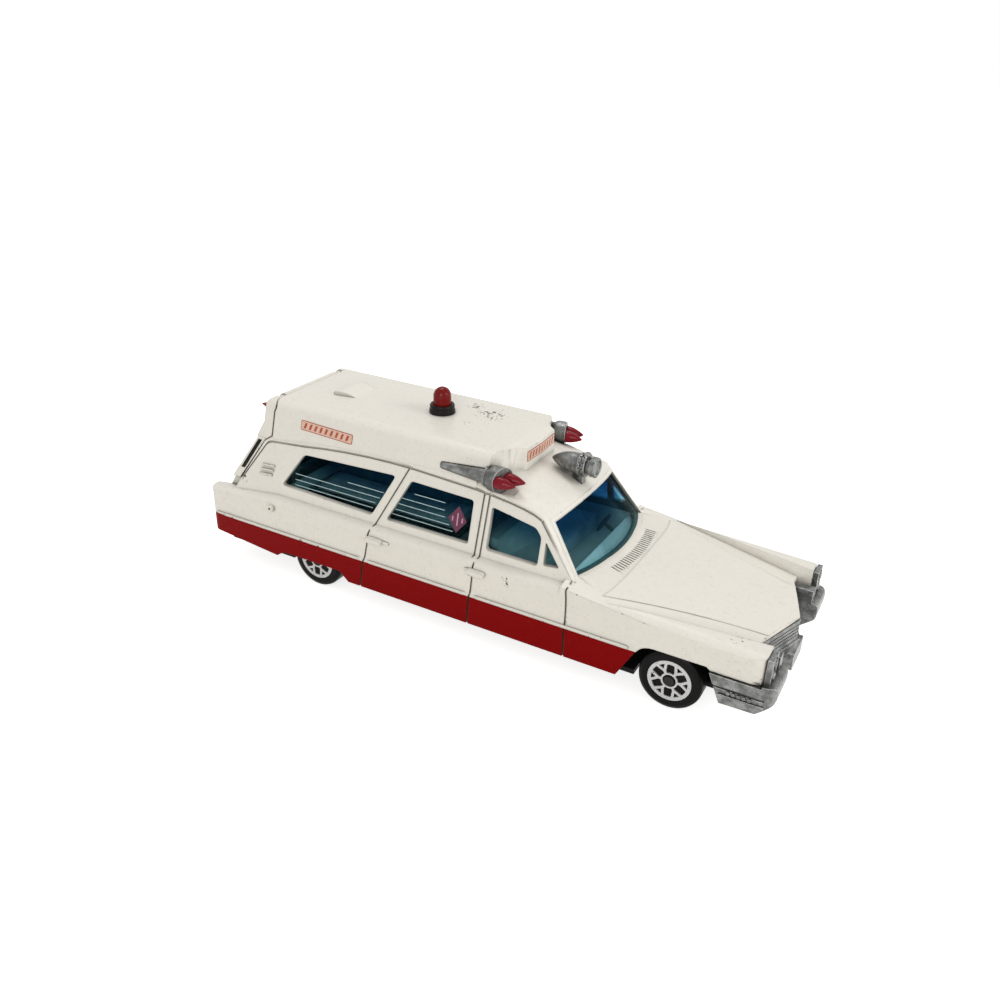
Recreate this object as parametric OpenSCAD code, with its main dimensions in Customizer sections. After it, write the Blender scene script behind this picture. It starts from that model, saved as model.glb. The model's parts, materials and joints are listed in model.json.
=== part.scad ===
// Toy ambulance: cast car body with a raised roof, top-hinged tailgate and four free-running wheels.
// +X is the nose, +Y the car's left side, +Z up. The origin is on the ground below the middle of the car.

/* [Overall] */
// Length over the bumpers
body_l = 152; // [150:0.5:158]
// Width over the lips of the lower sides
body_w = 47; // [46.6:0.1:49]
// Thickness of the cast walls
wall = 1.3; // [1.1:0.1:1.5]
// Gap between fixed pieces that seat in each other
seat_gap = 0.1; // [0.05:0.01:0.15]
// Radial gap of a turning fit
run_gap = 0.05; // [0.03:0.01:0.08]
// Width of an engraved seam
seam_w = 0.4; // [0.3:0.05:0.5]
// Depth of an engraved seam
seam_d = 0.4; // [0.3:0.05:0.5]

/* [Running gear] */
// Distance between the axles
wheelbase = 95.3; // [93:0.1:97]
// Front axle to the front of the bumper
front_overhang = 22.3; // [21.5:0.1:23]
// Wheel diameter
wheel_d = 14.4; // [14:0.1:14.8]
// Wheel width
wheel_w = 4.6; // [4:0.1:5]
// Width over the outer faces of the wheels
track_w = 44.2; // [43.8:0.1:44.4]
// Diameter of the silver trim face
trim_d = 10; // [9:0.1:10.8]
// Thickness of the trim and depth of its recess
trim_t = 0.35; // [0.25:0.05:0.5]
// Spokes in the trim
spokes = 6; // [5:1:7]
// Axle diameter
axle_d = 1.6; // [1.4:0.1:1.8]
// Gap between a wheel and the body around it
wheel_gap = 0.5; // [0.4:0.05:0.6]

/* [Lower body] */
// Height of the skirt's lower edge
skirt_z = 4.7; // [4.5:0.1:5]
// Height of the tail's underside
tail_z = 7.4; // [7:0.1:8]
// Height of the lip above the painted band
lip_z = 12.8; // [12.4:0.1:13.2]
// How far the flank tucks in above the lip
lip_d = 0.6; // [0.3:0.1:0.8]
// Height of the fender crest along the doors
crest_z = 22.3; // [22:0.1:22.6]
// Height of the fender crest at the nose
nose_z = 20.5; // [20.2:0.1:21]
// Height of the fin at the tail
fin_z = 19.9; // [19.5:0.1:20.6]
// Length over which the crest falls to the fin's tip
fin_l = 22; // [20:1:24]
// Height of the front wheel arch
arch_z = 14.3; // [14:0.1:14.6]
// Height of the rear wheel arch
rear_arch_z = 7.1; // [6.8:0.1:7.6]

/* [Hood] */
// Nose to the foot of the windscreen
hood_l = 42.4; // [41.5:0.1:43]
// Width between the feet of the fender crests at the nose
hood_w = 33; // [32:0.1:34]
// Width between the feet of the fender crests at the windscreen
hood_rear_w = 46; // [45:0.1:46.4]
// Windscreen foot to the rear edge of the hood panel
cowl_l = 4.8; // [4.5:0.1:5.4]
// Width of the hood panel at the nose
panel_w = 21.6; // [20:0.1:23]
// Height of the hood panel's edge
panel_h = 0.2; // [0.1:0.05:0.3]
// Height of the hood at the windscreen
hood_rear_z = 23.6; // [23.2:0.1:23.7]
// Height of the hood at its tip
hood_front_z = 18.2; // [17.8:0.1:18.6]
// How far the tip leads the corners of the prow
prow_l = 4.8; // [4.2:0.1:5.4]
// Width over the corners of the prow
prow_w = 27.8; // [27:0.1:28.6]
// Number of vent slats in the cowl
slats = 24; // [16:1:28]

/* [Greenhouse] */
// Height of the belt line
belt_z = 23; // [22.8:0.1:23.2]
// Width at the belt line
belt_w = 41; // [40.4:0.1:41.6]
// Inward lean of the sides, mm a mm of height
tumble = 0.235; // [0.22:0.005:0.25]
// Height of the cab roof where the raised roof starts
cab_z = 41; // [40.6:0.1:41.4]
// Height of the top of the windscreen
screen_top_z = 34.6; // [34:0.1:35]
// Lean of the windscreen from upright
screen_rake = 40.6; // [39:0.1:42]
// Radius of the windscreen's curve
screen_r = 52; // [48:1:60]
// Thickness of the window moulding
glass_t = 0.9; // [0.7:0.05:1]

/* [Side windows] */
// Height of the sills
sill_z = 24.1; // [23.9:0.1:24.6]
// Height of the window heads
head_z = 34.9; // [34.4:0.1:35.2]
// Windscreen foot to the front edge of the front window
screen_post = 13.4; // [13:0.1:14]
// Length of the front door window
front_win_l = 13.2; // [12.5:0.1:14]
// Post between the door windows
b_post = 4.8; // [4.2:0.1:5.4]
// Length of the rear door window at its sill
rear_win_l = 22.9; // [22:0.1:23.6]
// Post behind the rear door window
c_post = 4.4; // [4:0.1:5]
// Forward lean of that post over the window height
post_lean = 5.8; // [5:0.1:6.4]
// Tail to the rear end of the quarter window's sill
quarter_end = 22.8; // [22:0.1:24]

/* [Raised roof] */
// Height of the roof's flat top
roof_z = 46; // [45.6:0.1:46.4]
// Width at the foot of the roof's walls
roof_base_w = 35.5; // [35:0.1:35.8]
// Width at the top of the roof's walls
roof_top_w = 30.4; // [29.6:0.1:31]
// Tail to the seam between roof and tailgate
seam_l = 18.7; // [18.4:0.1:19]
// Windscreen foot to the front corners of the roof
cab_l = 29.6; // [29:0.1:30.4]
// How far the sign block stands forward of the corners
sign_l = 5.8; // [5:0.1:6.4]
// Width of the sign block
sign_w = 14.6; // [13.6:0.1:15]
// Seam to the rear edge of the vent hatch
hatch_seam = 9.8; // [8:0.1:12]
// Length of the vent hatch
hatch_l = 7.4; // [6.6:0.1:8]
// Width of the vent hatch
hatch_w = 10; // [8:0.1:11]
// Height of the vent hatch
hatch_h = 1; // [0.8:0.1:1.3]

/* [Tailgate] */
// Height of the hinge axis
hinge_z = 44; // [43.8:0.1:44.2]
// Radius of the rolled upper edge
roll_r = 1.6; // [1.5:0.05:1.7]
// Width of the rolled edge between the body's lugs
roll_w = 21; // [20:0.5:22]
// Diameter of the hinge pin
pin_d = 1; // [0.9:0.05:1.1]
// Height of the door's lower edge
gate_z = 19.6; // [19.3:0.1:19.9]
// Gap around the door
gate_gap = 0.4; // [0.35:0.05:0.5]
// Width of the rear window
gate_win_w = 25; // [22:0.5:27]

/* [Roof equipment] */
// Tail to the beacon's axis
beacon_l = 58.4; // [54:0.2:62]
// Diameter of the beacon's ring
beacon_ring_d = 6.4; // [6:0.1:7]
// Height of the beacon's ring
beacon_ring_h = 2.2; // [1.8:0.1:2.6]
// Diameter of the beacon's dome
beacon_d = 4.4; // [4:0.1:4.8]
// Height of the beacon over the roof
beacon_h = 6.5; // [6:0.1:7]
// Length of the siren
siren_l = 11.6; // [10.6:0.1:12]
// Diameter of the siren's band
siren_d = 5.5; // [5:0.1:5.8]
// Height of the siren's axis
siren_z = 41.3; // [41.1:0.1:41.6]
// Diameter of a warning pod's ring
pod_d = 6; // [5.8:0.1:6.4]
// Length of a pod's ring
pod_ring_l = 3.2; // [2.8:0.1:3.8]
// Length of a pod's tapered tail
pod_tail_l = 13; // [12:0.1:14]
// Distance between the axes of the pods
pod_span = 32.6; // [32:0.1:33]
// Height of the axes of the pods
pod_z = 40.5; // [40.3:0.1:40.8]
// Length of a cone lens
cone_l = 4.4; // [3.8:0.1:4.8]
// Diameter of a cone lens
cone_d = 3; // [2.6:0.1:3]
// Distance between the rear lamps
lamp_span = 24; // [22:0.2:25]
// Height of the rear lamps
lamp_z = 42; // [41.8:0.1:42.2]

/* [Front casting] */
// Lower edge of the grille
grille_z = 12.9; // [12.7:0.1:13.1]
// Horizontal ribs in the grille
grille_ribs = 5; // [4:1:6]
// Lower edge of the bumper bar
bar_z = 10.8; // [10.5:0.1:11]
// Lower edge of the side wings
wing_z = 7; // [6.8:0.1:7.4]
// Length of the side wings
wing_l = 13.9; // [13:0.1:13.9]
// Diameter of a headlamp
headlamp_d = 3; // [2.6:0.1:3.1]
// Width of the number plate block
plate_w = 8.6; // [8:0.1:9]

/* [Underside and inside] */
// Height of the baseplate's underside
base_z = 5; // [4.9:0.05:5.2]
// Thickness of the baseplate
base_t = 1.2; // [1:0.1:1.4]
// Height of the interior floor
floor_z = 16.4; // [16.2:0.1:16.8]
// Thickness of the interior moulding
tray_t = 1; // [0.8:0.1:1.1]
// Width of the stretcher
stretcher_w = 13; // [11:0.5:16]
// Length of the stretcher
stretcher_l = 48; // [44:0.5:52]
// Diameter of the steering wheel
steering_d = 5.6; // [5:0.1:6.2]
// Diameter of the posts that the base is riveted to
post_d = 4.2; // [3.8:0.1:4.6]

/* [Hidden] */
$fn = 48;

paint = [0.93, 0.92, 0.88];
zinc = [0.62, 0.62, 0.61];
tint = [0.1, 0.42, 0.5, 0.6];
red = [0.62, 0.03, 0.05];
black = [0.06, 0.06, 0.06];
steel = [0.7, 0.7, 0.72];
far = 130;

half_w = body_w / 2;
nose_x = body_l / 2;
tail_x = -body_l / 2;
front_axle_x = nose_x - front_overhang;
rear_axle_x = front_axle_x - wheelbase;
wheel_r = wheel_d / 2;
axle_z = wheel_r;
wheel_face = track_w / 2;
axle_r = axle_d / 2;
well_r = wheel_r + wheel_gap + 0.2;
well_side_gap = 0.4;
trim_hub_r = 1.5;

// Lower body
flank_in = 0.3;
crest_drop = 2;
crest_in = 2.6;
skirt_in = 0.8;
fender_low_z = arch_z - 0.6;
fender_x = nose_x - 3.1;
notch_x = fender_x - 3.2;
fender_tip_w = 42.4;
fender_in_w = 35.4;
fin_in_w = 38.6;
tail_panel_x = tail_x + 2.6;
rear_bar_h = 3.6;
rear_plate_h = 3.4;
fin_x = tail_x + fin_l;
deck_z = gate_z - gate_gap;

// Hood
screen_x = nose_x - hood_l;
prow_x = nose_x - 1.7;
hood_run = prow_x - screen_x;
hood_pitch = atan2(hood_rear_z - hood_front_z, hood_run);
hood_edge_drop = 1.7;
grille_depth = 2.2;
lip_under_z = hood_front_z - 0.5;

// Greenhouse and windows
screen_z = hood_rear_z - 0.1;
screen_low_z = hood_rear_z - 0.4;
screen_mid_z = hood_rear_z + 0.1;
screen_arch = 1.5;
screen_in = 2;
surround_w = 0.7;
surround_t = 0.2;
screen_recess = 0.4;
ceiling_z = 36.6;
drip_z = 37.8;
drip_w = 0.5;
shoulder_h = 2.2;
vent_x = screen_x - 8.1;
front_win_x = screen_x - screen_post;
front_win_end = front_win_x - front_win_l;
rear_win_x = front_win_end - b_post;
rear_win_end = rear_win_x - rear_win_l;
quarter_x = rear_win_end - c_post;
quarter_end_x = tail_x + quarter_end;

// Raised roof and tailgate
roof_x = screen_x - cab_l;
sign_x = roof_x + sign_l;
seam_x = tail_x + seam_l;
hinge_x = seam_x - roll_r;
gate_back_x = hinge_x - roll_r;
gate_knee_z = 36;
gate_slope = 0.62;
pin_r = pin_d / 2;
lug_w = 1.4;
lug_gap = 0.25;
lug_y = roll_w / 2 + lug_gap;
lug_r = roll_r - 0.35;
lamp_base_d = 3.4;
lamp_base_l = 1.1;
lamp_lens_l = 3.6;
lamp_tip_d = 0.3;

// Roof equipment
beacon_x = tail_x + beacon_l;
siren_tail_x = sign_x + 3.2;
siren_front_l = 4.6;
siren_band_l = siren_l - siren_front_l;
pod_x = roof_x + 1.5;
pod_front_x = pod_x + pod_ring_l;
pod_sweep = 18;
cone_pitch = cone_d * 0.96;

// Base and interior
base_top_z = base_z + base_t;
cavity_w = body_w - 2 * (wall + lip_d + 0.2);
cavity_z = belt_z - 2.2;
base_w = cavity_w - 0.6;
bearing_w = 2 * (wheel_face - wheel_w - 0.8);
base_waist_w = bearing_w;
front_post_x = front_axle_x + 8.6;
rear_post_x = tail_x + 7.8;
rivet_d = 2;
rivet_head_d = 3.6;
rivet_head_h = 0.5;
rivet_l = 2.6;
tray_front_x = screen_x - 4.6;
tray_rear_x = seam_x - 6.5;
tray_gap = 0.5;
tray_w = min(2 * (side_y(belt_z) - wall), cavity_w) - 2 * tray_gap;
seat_l = 10;
seat_h = 5;
seat_in = 1.6;
seat_back_t = 3.4;
seat_back_h = 10.4;
leg_w = 3;
leg_in = 7;
rail_z = belt_z - 0.5;
dash_x = screen_x - 6.9;
dash_z = rail_z - 0.3;
stretcher_x = seam_x + 1;
stretcher_rail = 0.8;
stretcher_bed = 0.6;
mattress_t = 2;
pillow_l = 8;
pillow_t = 1.2;

// Half width of the greenhouse at a height
function side_y(z) = belt_w / 2 - tumble * (z - belt_z);

// Height of the hood's centre line
function hood_z(x) = hood_rear_z - (x - screen_x) * tan(hood_pitch);

// Quadratic curve from a to c that leaves and arrives along the lines to b
function curve(a, b, c, n = 5) = [
    for (i = [0 : n])
        let (s = i / n)
            (1 - s) * (1 - s) * a + 2 * s * (1 - s) * b + s * s * c
];

// Outline with each corner rounded off over a length r
function rounded(points, r, n = 4) = [
    for (i = [0 : len(points) - 1])
        let (
            count = len(points),
            p = points[i],
            a = points[(i + count - 1) % count],
            b = points[(i + 1) % count]
        )
            each curve(p + (a - p) / norm(a - p) * r, p, p + (b - p) / norm(b - p) * r, n)
];

// Closed outline from its half on the positive side
function mirrored(half) = concat(
    half,
    [for (i = [len(half) - 1 : -1 : 0]) if (half[i][0] > 0) [-half[i][0], half[i][1]]]
);

// Closed plan outline from its half on the positive side
function mirrored_plan(half) = concat(
    half,
    [for (i = [len(half) - 1 : -1 : 0]) if (half[i][1] > 0) [half[i][0], -half[i][1]]]
);

// A thin band along a line of points
function band(points, w) = concat(
    [for (p = points) p + [0, w / 2]],
    [for (i = [len(points) - 1 : -1 : 0]) points[i] - [0, w / 2]]
);

// Extrude a (y, z) outline along X
module along_x(x0, x1) {
    translate([x0, 0, 0]) rotate([90, 0, 90]) linear_extrude(x1 - x0) children();
}

// Extrude an (x, z) outline along Y
module along_y(y0, y1) {
    translate([0, y1, 0]) rotate([90, 0, 0]) linear_extrude(y1 - y0) children();
}

// Both sides of the car
module both_sides() {
    children();
    mirror([0, 1, 0]) children();
}

// Section of the flanks: skirt, lip, tucked side
module flank_outline() {
    polygon(mirrored(concat(
        [[half_w - skirt_in, skirt_z - 3], [half_w, lip_z - 0.7]],
        curve([half_w, lip_z], [half_w - lip_d, lip_z + 0.3], [half_w - lip_d, lip_z + 1.6], 4),
        curve(
            [half_w - lip_d, lip_z + 2.4],
            [half_w - lip_d, crest_z - 4],
            [half_w - flank_in, crest_z - crest_drop],
            4
        ),
        [[half_w + 1, crest_z + 5]]
    )));
}

// Fender crest between two stations, with rounded shoulders
module crest_block(x0, z0, x1, z1) {
    top_y = half_w - flank_in;
    run = x1 - x0;
    intersection() {
        translate([x0, 0, z0]) rotate([0, atan2(z0 - z1, run), 0])
            along_x(-far, run + far)
                polygon(mirrored(concat(
                    [[top_y + 3, -far / 2]],
                    curve([top_y, -crest_drop], [top_y - 0.15, -0.2], [top_y - crest_in, 0]),
                    [[0, 0.1]]
                )));
        translate([x0, -far, -far]) cube([run, 2 * far, 2 * far]);
    }
}

// Side view of the skirt and the wheel arches, open to the top
module skirt_outline() {
    front_x = front_axle_x - 11.9;
    polygon(concat(
        [
            [tail_x - 1, far],
            [tail_x - 1, tail_z + 2.4],
            [tail_x + 0.9, tail_z],
            [rear_axle_x - 12.5, skirt_z + 0.7]
        ],
        rounded_arch(rear_axle_x - 10, rear_axle_x + 8.6),
        [[rear_axle_x + 10.6, skirt_z], [front_x, skirt_z]],
        curve([front_x + 4, lip_z - 0.6], [front_x + 5.2, arch_z], [front_x + 8, arch_z]),
        [
            [front_axle_x + 7.6, arch_z],
            [front_axle_x + 8.4, fender_low_z],
            [nose_x + 1, fender_low_z],
            [nose_x + 1, far]
        ]
    ));
}

// Flat-topped rear arch
function rounded_arch(x0, x1) = concat(
    curve([x0 - 0.8, rear_arch_z - 0.5], [x0, rear_arch_z], [x0 + 1.2, rear_arch_z], 3),
    curve([x1 - 1.2, rear_arch_z + 0.1], [x1, rear_arch_z + 0.1], [x1 + 0.5, rear_arch_z - 0.9], 3)
);

// Plan view of the lower body: fins, rounded corners, fender tips and prow
module plan_outline() {
    tip_y = fender_tip_w / 2;
    polygon(mirrored_plan(concat(
        [
            [tail_panel_x, 0],
            [tail_panel_x, fin_in_w / 2],
            [tail_x, fin_in_w / 2 + 0.3]
        ],
        curve([tail_x, half_w - 2.2], [tail_x, half_w - 0.5], [tail_x + 2.4, half_w - 0.3]),
        [[tail_x + 10, half_w + 0.2], [nose_x - 18, half_w + 0.2]],
        curve([nose_x - 6, half_w - 0.5], [fender_x, half_w - 0.8], [fender_x, tip_y]),
        [
            [fender_x, fender_in_w / 2],
            [notch_x, fender_in_w / 2 - 0.7],
            [notch_x, prow_w / 2],
            [prow_x, 0]
        ]
    )));
}

// Place in the sloping plane of the hood, lifted by some height
module in_hood_plane(lift) {
    translate([screen_x, 0, hood_rear_z + lift]) rotate([0, hood_pitch, 0]) children();
}

// Crowned top of the hood, falling to the prow
module hood_block(lift) {
    y = hood_rear_w / 2 + 0.5;
    in_hood_plane(lift)
        along_x(-6, hood_run + 4)
            polygon(mirrored(concat(
                [[y, -8]],
                curve([y, -hood_edge_drop], [y - 7, -0.25], [y - 17, 0]),
                [[0, 0.05]]
            )));
}

// Raised panel of the hood between its seams
module hood_panel() {
    rear_x = screen_x + cowl_l;
    corner = [rear_x - 1.8, hood_rear_w / 2 - 2.2];
    intersection() {
        hood_block(panel_h);
        linear_extrude(far) polygon(mirrored_plan(concat(
            [[rear_x, 0]],
            curve([rear_x - 0.1, 9], [rear_x - 0.4, 17], corner),
            curve(corner, [screen_x + 26, 12.2], [nose_x, panel_w / 2], 8)
        )));
    }
}

// Space over the hood between the fender crests, which close in towards the nose
module hood_trough() {
    rear_y = hood_rear_w / 2;
    close = atan2(rear_y - hood_w / 2, fender_x - screen_x);
    in_hood_plane(0) intersection_for (side = [0, 1])
        mirror([0, side, 0])
            translate([0, rear_y, 0]) rotate([0, 0, -close])
                along_x(-12, hood_run + 14)
                    polygon([[-far, -hood_edge_drop - 0.2], [0, -hood_edge_drop], [1.8, 5], [-far, 5]]);
}

// Fenders, doors, quarters and hood as one solid
module lower_body() {
    difference() {
        intersection() {
            union() {
                difference() {
                    union() {
                        crest_block(tail_x - 1, fin_z - 0.06, fin_x, crest_z);
                        crest_block(fin_x, crest_z, screen_x, crest_z);
                        crest_block(screen_x, crest_z, nose_x, nose_z - 0.1);
                    }
                    hood_trough();
                }
                hood_block(0);
                hood_panel();
            }
            along_x(tail_x - 2, nose_x + 2) flank_outline();
            along_y(-far, far) skirt_outline();
            linear_extrude(far) plan_outline();
        }
        // Deck between the fins, below the tailgate
        translate([tail_x - 1, -fin_in_w / 2, deck_z]) cube([seam_l, fin_in_w, far]);
        // Seat of the grille under the hood's lip
        translate([0, 0, -1]) linear_extrude(lip_under_z + 1)
            prow_outline(-grille_depth, nose_x + 5, prow_w / 2 + 0.3);
    }
}

// Plan of the prow moved forward by d, filled up to a front line
module prow_outline(d, front_x, y) {
    slope = prow_l / (prow_w / 2);
    polygon([
        [prow_x + d, 0],
        [prow_x + d - slope * y, y],
        [front_x, y],
        [front_x, -y],
        [prow_x + d - slope * y, -y]
    ]);
}

// Cylinder whose front is the curve of the windscreen
module screen_solid(inset) {
    translate([screen_x, 0, screen_z]) rotate([0, -screen_rake, 0])
        translate([-screen_r, 0, -far]) cylinder(r = screen_r - inset, h = 2 * far, $fn = 200);
}

// Section of the cabin sides and the cab roof
module cabin_outline() {
    low = cavity_z - 1;
    polygon(mirrored(concat(
        [[side_y(low), low]],
        curve([side_y(drip_z), drip_z], [side_y(cab_z) - 0.3, cab_z - 0.3], [11, cab_z + 0.1]),
        [[0, cab_z + 0.3]]
    )));
}

// Crown of the cab roof, whose edges fall towards the windscreen
module cab_crown() {
    edge_y = side_y(drip_z) + 0.9;
    fall = 11.3;
    translate([roof_x, 0, drip_z]) rotate([0, fall, 0])
        along_x(-far, hood_l)
            polygon(mirrored(concat(
                [[edge_y + 8, -far / 2], [edge_y + 8, -3.4]],
                curve([edge_y, 0], [edge_y - 1.7, 1.9], [9, 2.8]),
                [[0, 3.4]]
            )));
}

// Line between the body and the tailgate in side view
function gate_line(d) = [
    [seam_x + d, far],
    [seam_x + d, gate_knee_z + 0.6],
    [seam_x - 2.6 + d, gate_knee_z - 1.2],
    [seam_x - 2.6 - gate_slope * (gate_knee_z - cavity_z) + d, cavity_z - 1.2]
];

// Side view of the cabin: tailgate line, roof and windscreen header
module cabin_profile() {
    header_x = screen_x - tan(screen_rake) * (screen_top_z - screen_z);
    polygon(concat(
        gate_line(0),
        [[screen_x + 2, cavity_z - 1], [screen_x + 2, screen_top_z - 5]],
        [[header_x + 0.6, screen_top_z]],
        curve([header_x - 1.5, screen_top_z + 1.4], [header_x - 4.6, 37.7], [sign_x + 4, cab_z - 1.4]),
        [[roof_x, cab_z], [roof_x - 4, far]]
    ));
}

module greenhouse() {
    intersection() {
        union() {
            along_x(tail_x, nose_x) cabin_outline();
            along_x(seam_x, roof_x - 1.6) cabin_box(0, cavity_z, drip_z + shoulder_h);
        }
        along_y(-far, far) cabin_profile();
        screen_solid(0);
        cab_crown();
    }
}

// Section of the raised roof
module roof_outline() {
    base_y = roof_base_w / 2;
    top_y = roof_top_w / 2;
    polygon(mirrored(concat(
        [[base_y - 0.4, gate_knee_z - 1.4], [base_y, gate_knee_z]],
        curve([top_y + 0.3, roof_z - 2], [top_y - 0.3, roof_z - 0.2], [top_y - 3, roof_z - 0.15], 6),
        [[6, roof_z], [0, roof_z]]
    )));
}

// Lower edge of the raised roof in side view
function roof_foot() = [
    [gate_back_x - 1, gate_knee_z - 1],
    [seam_x, gate_knee_z - 0.2],
    [seam_x + 10, gate_knee_z + 1.2],
    [seam_x + 25, gate_knee_z + 2.5],
    [roof_x - 22, gate_knee_z + 2.9],
    [roof_x, gate_knee_z + 3.4]
];

// Plan of the raised roof: front edges swept forward to the sign block
module roof_plan() {
    sign_y = sign_w / 2;
    corner = [roof_x + 1, roof_top_w / 2];
    foot = [sign_x - 2.4, sign_y + 2];
    polygon(mirrored_plan(concat(
        [[tail_x, 0], [tail_x, half_w], [roof_x + 0.4, half_w]],
        curve(corner, [roof_x + 2.2, foot[1] + 1.8], foot),
        curve(foot + [0.4, -0.8], [sign_x - 1.4, sign_y + 0.3], [sign_x - 0.6, sign_y], 3),
        [[sign_x, sign_y - 0.3], [sign_x + 0.3, 0]]
    )));
}

module raised_roof() {
    intersection() {
        along_x(tail_x, sign_x + 1) roof_outline();
        along_y(-far, far) polygon(concat(
            roof_foot(),
            [[sign_x + 1, cab_z - 2], [sign_x + 1, roof_z - 1.6]],
            curve([sign_x - 0.4, roof_z - 0.9], [sign_x - 3, roof_z], [roof_x - 8, roof_z]),
            [[seam_x + 6, roof_z], [gate_back_x - 1, roof_z - 0.4]]
        ));
        linear_extrude(far) roof_plan();
    }
}

// Vent hatch on the roof, humped at its rear and running out to the front
module vent_hatch() {
    rear_x = seam_x + hatch_seam;
    front_x = rear_x + hatch_l;
    rear_y = hatch_w / 2;
    front_y = rear_y - 1.1;
    top_z = roof_z + hatch_h;
    sunk_z = roof_z - 0.4;
    intersection() {
        along_y(-far, far) polygon(concat(
            [[rear_x, sunk_z]],
            curve([rear_x, roof_z + 0.3], [rear_x + 0.3, top_z], [rear_x + 2, top_z], 4),
            curve([rear_x + 2.6, top_z], [front_x - 2.2, top_z - 0.2], [front_x, sunk_z], 4)
        ));
        linear_extrude(far) polygon(rounded(
            [[rear_x, -rear_y], [front_x, -front_y], [front_x, front_y], [rear_x, rear_y]], 0.8));
    }
}

// Outlines of the side windows in side view
function front_window() = [
    [front_win_end, sill_z],
    [front_win_x, sill_z - 0.1],
    [front_win_x, head_z - 4.4],
    [front_win_x - 1.6, head_z - 2.6],
    [front_win_end + 0.1, head_z - 0.7]
];

function vent_window() = [
    [front_win_x + 1.4, sill_z + 0.4],
    [vent_x, sill_z + 0.8],
    [front_win_x + 1.2, head_z - 5]
];

function rear_window() = [
    [rear_win_end, sill_z],
    [rear_win_x, sill_z + 0.1],
    [rear_win_x + 0.1, head_z - 0.4],
    [rear_win_end + post_lean, head_z]
];

function quarter_window() = [
    [quarter_end_x, sill_z + 0.8],
    [quarter_x, sill_z],
    [quarter_x + post_lean, head_z + 0.2],
    [quarter_end_x + 6.2, head_z - 0.9]
];

module side_windows() {
    along_y(-far, far) {
        polygon(rounded(front_window(), 0.8));
        polygon(rounded(vent_window(), 0.5, 2));
        polygon(rounded(rear_window(), 0.8));
        polygon(rounded(quarter_window(), 1.1));
    }
}

// Outline of the windscreen seen from the front, grown by a margin
module screen_prism(grow) {
    corner_z = screen_top_z - 1 + grow;
    y = side_y(screen_low_z) - screen_in + grow;
    top_y = side_y(screen_top_z) - screen_in + grow;
    along_x(roof_x, screen_x + 3)
        polygon(concat(
            [[-y, screen_low_z - grow], [-8, screen_mid_z - grow]],
            [[8, screen_mid_z - grow], [y, screen_low_z - grow]],
            curve([top_y, corner_z], [0, corner_z + 2 * screen_arch], [-top_y, corner_z], 8)
        ));
}

// Windscreen opening, cut through the front of the cabin alone
module screen_opening() {
    intersection() {
        screen_prism(0);
        screen_solid(-2 * surround_t);
    }
}

// Raised surround of the windscreen
module screen_surround() {
    intersection() {
        screen_prism(surround_w);
        difference() {
            screen_solid(-surround_t);
            screen_solid(wall / 2);
        }
    }
}

// Hollow of the cabin below the ceiling
module cabin_hollow() {
    intersection() {
        along_x(tail_x, nose_x) cabin_box(wall, cavity_z - 0.5, ceiling_z);
        along_y(-far, far) polygon([
            [tail_x, 0],
            [tail_x, ceiling_z + 1],
            [screen_x - 14, ceiling_z + 1],
            [screen_x - 9, screen_top_z],
            [screen_x + 2, screen_z],
            [screen_x + 2, 0]
        ]);
        screen_solid(wall);
        translate([0, 0, -wall]) cab_crown();
    }
}

// Straight-sided section of the cabin between two heights
module cabin_box(inset, z0, z1) {
    polygon([
        [-side_y(z0) + inset, z0],
        [side_y(z0) - inset, z0],
        [side_y(z1) - inset, z1],
        [-side_y(z1) + inset, z1]
    ]);
}

// Hollow of the raised roof
module roof_hollow() {
    y0 = roof_base_w / 2 - wall - 2.4;
    y1 = roof_top_w / 2 - wall - 1;
    along_x(tail_x, roof_x - 9)
        polygon([[-y0, ceiling_z - 1], [y0, ceiling_z - 1], [y1, roof_z - wall], [-y1, roof_z - wall]]);
}

// Hollow of the lower body, open at the bottom
module lower_hollow() {
    y = cavity_w / 2;
    front_x = notch_x - 1.2;
    intersection() {
        along_x(tail_x, nose_x) polygon([[-y, -1], [y, -1], [y, cavity_z], [-y, cavity_z]]);
        along_y(-far, far) polygon([
            [tail_panel_x + 2, -1],
            [tail_panel_x + 2, deck_z - 1.6],
            [tray_rear_x - 2.4, deck_z - 1.6],
            [tray_rear_x - 2.4, cavity_z],
            [screen_x - 3, cavity_z],
            [front_x, hood_z(front_x) - 2.4],
            [front_x, -1]
        ]);
    }
}

module wheel_wells() {
    for (x = [front_axle_x, rear_axle_x])
        both_sides()
            translate([x, wheel_face + well_side_gap, axle_z]) rotate([90, 0, 0])
                cylinder(r = well_r, h = wheel_w + 2);
}

// Engraved door seams of the flanks
module door_seams() {
    depth_y = half_w - lip_d - seam_d;
    a_x = screen_x - 4.8;
    b_x = (front_win_end + rear_win_x) / 2 - 1.4;
    b_lean = 2.2;
    c_x = rear_win_end - c_post / 2 - 5.6;
    c_lean = 4.8;
    both_sides() along_y(depth_y, half_w + 1)
        for (seam = [[a_x, 0], [b_x, b_lean], [c_x, c_lean]])
            leaning_seam(seam[0], 0, seam[0] + seam[1], crest_z + 1);
}

// Outline of an engraved line between two points of a side view
module leaning_seam(x0, z0, x1, z1) {
    polygon([[x0, z0], [x0 + seam_w, z0], [x1 + seam_w, z1], [x1, z1]]);
}

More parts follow.
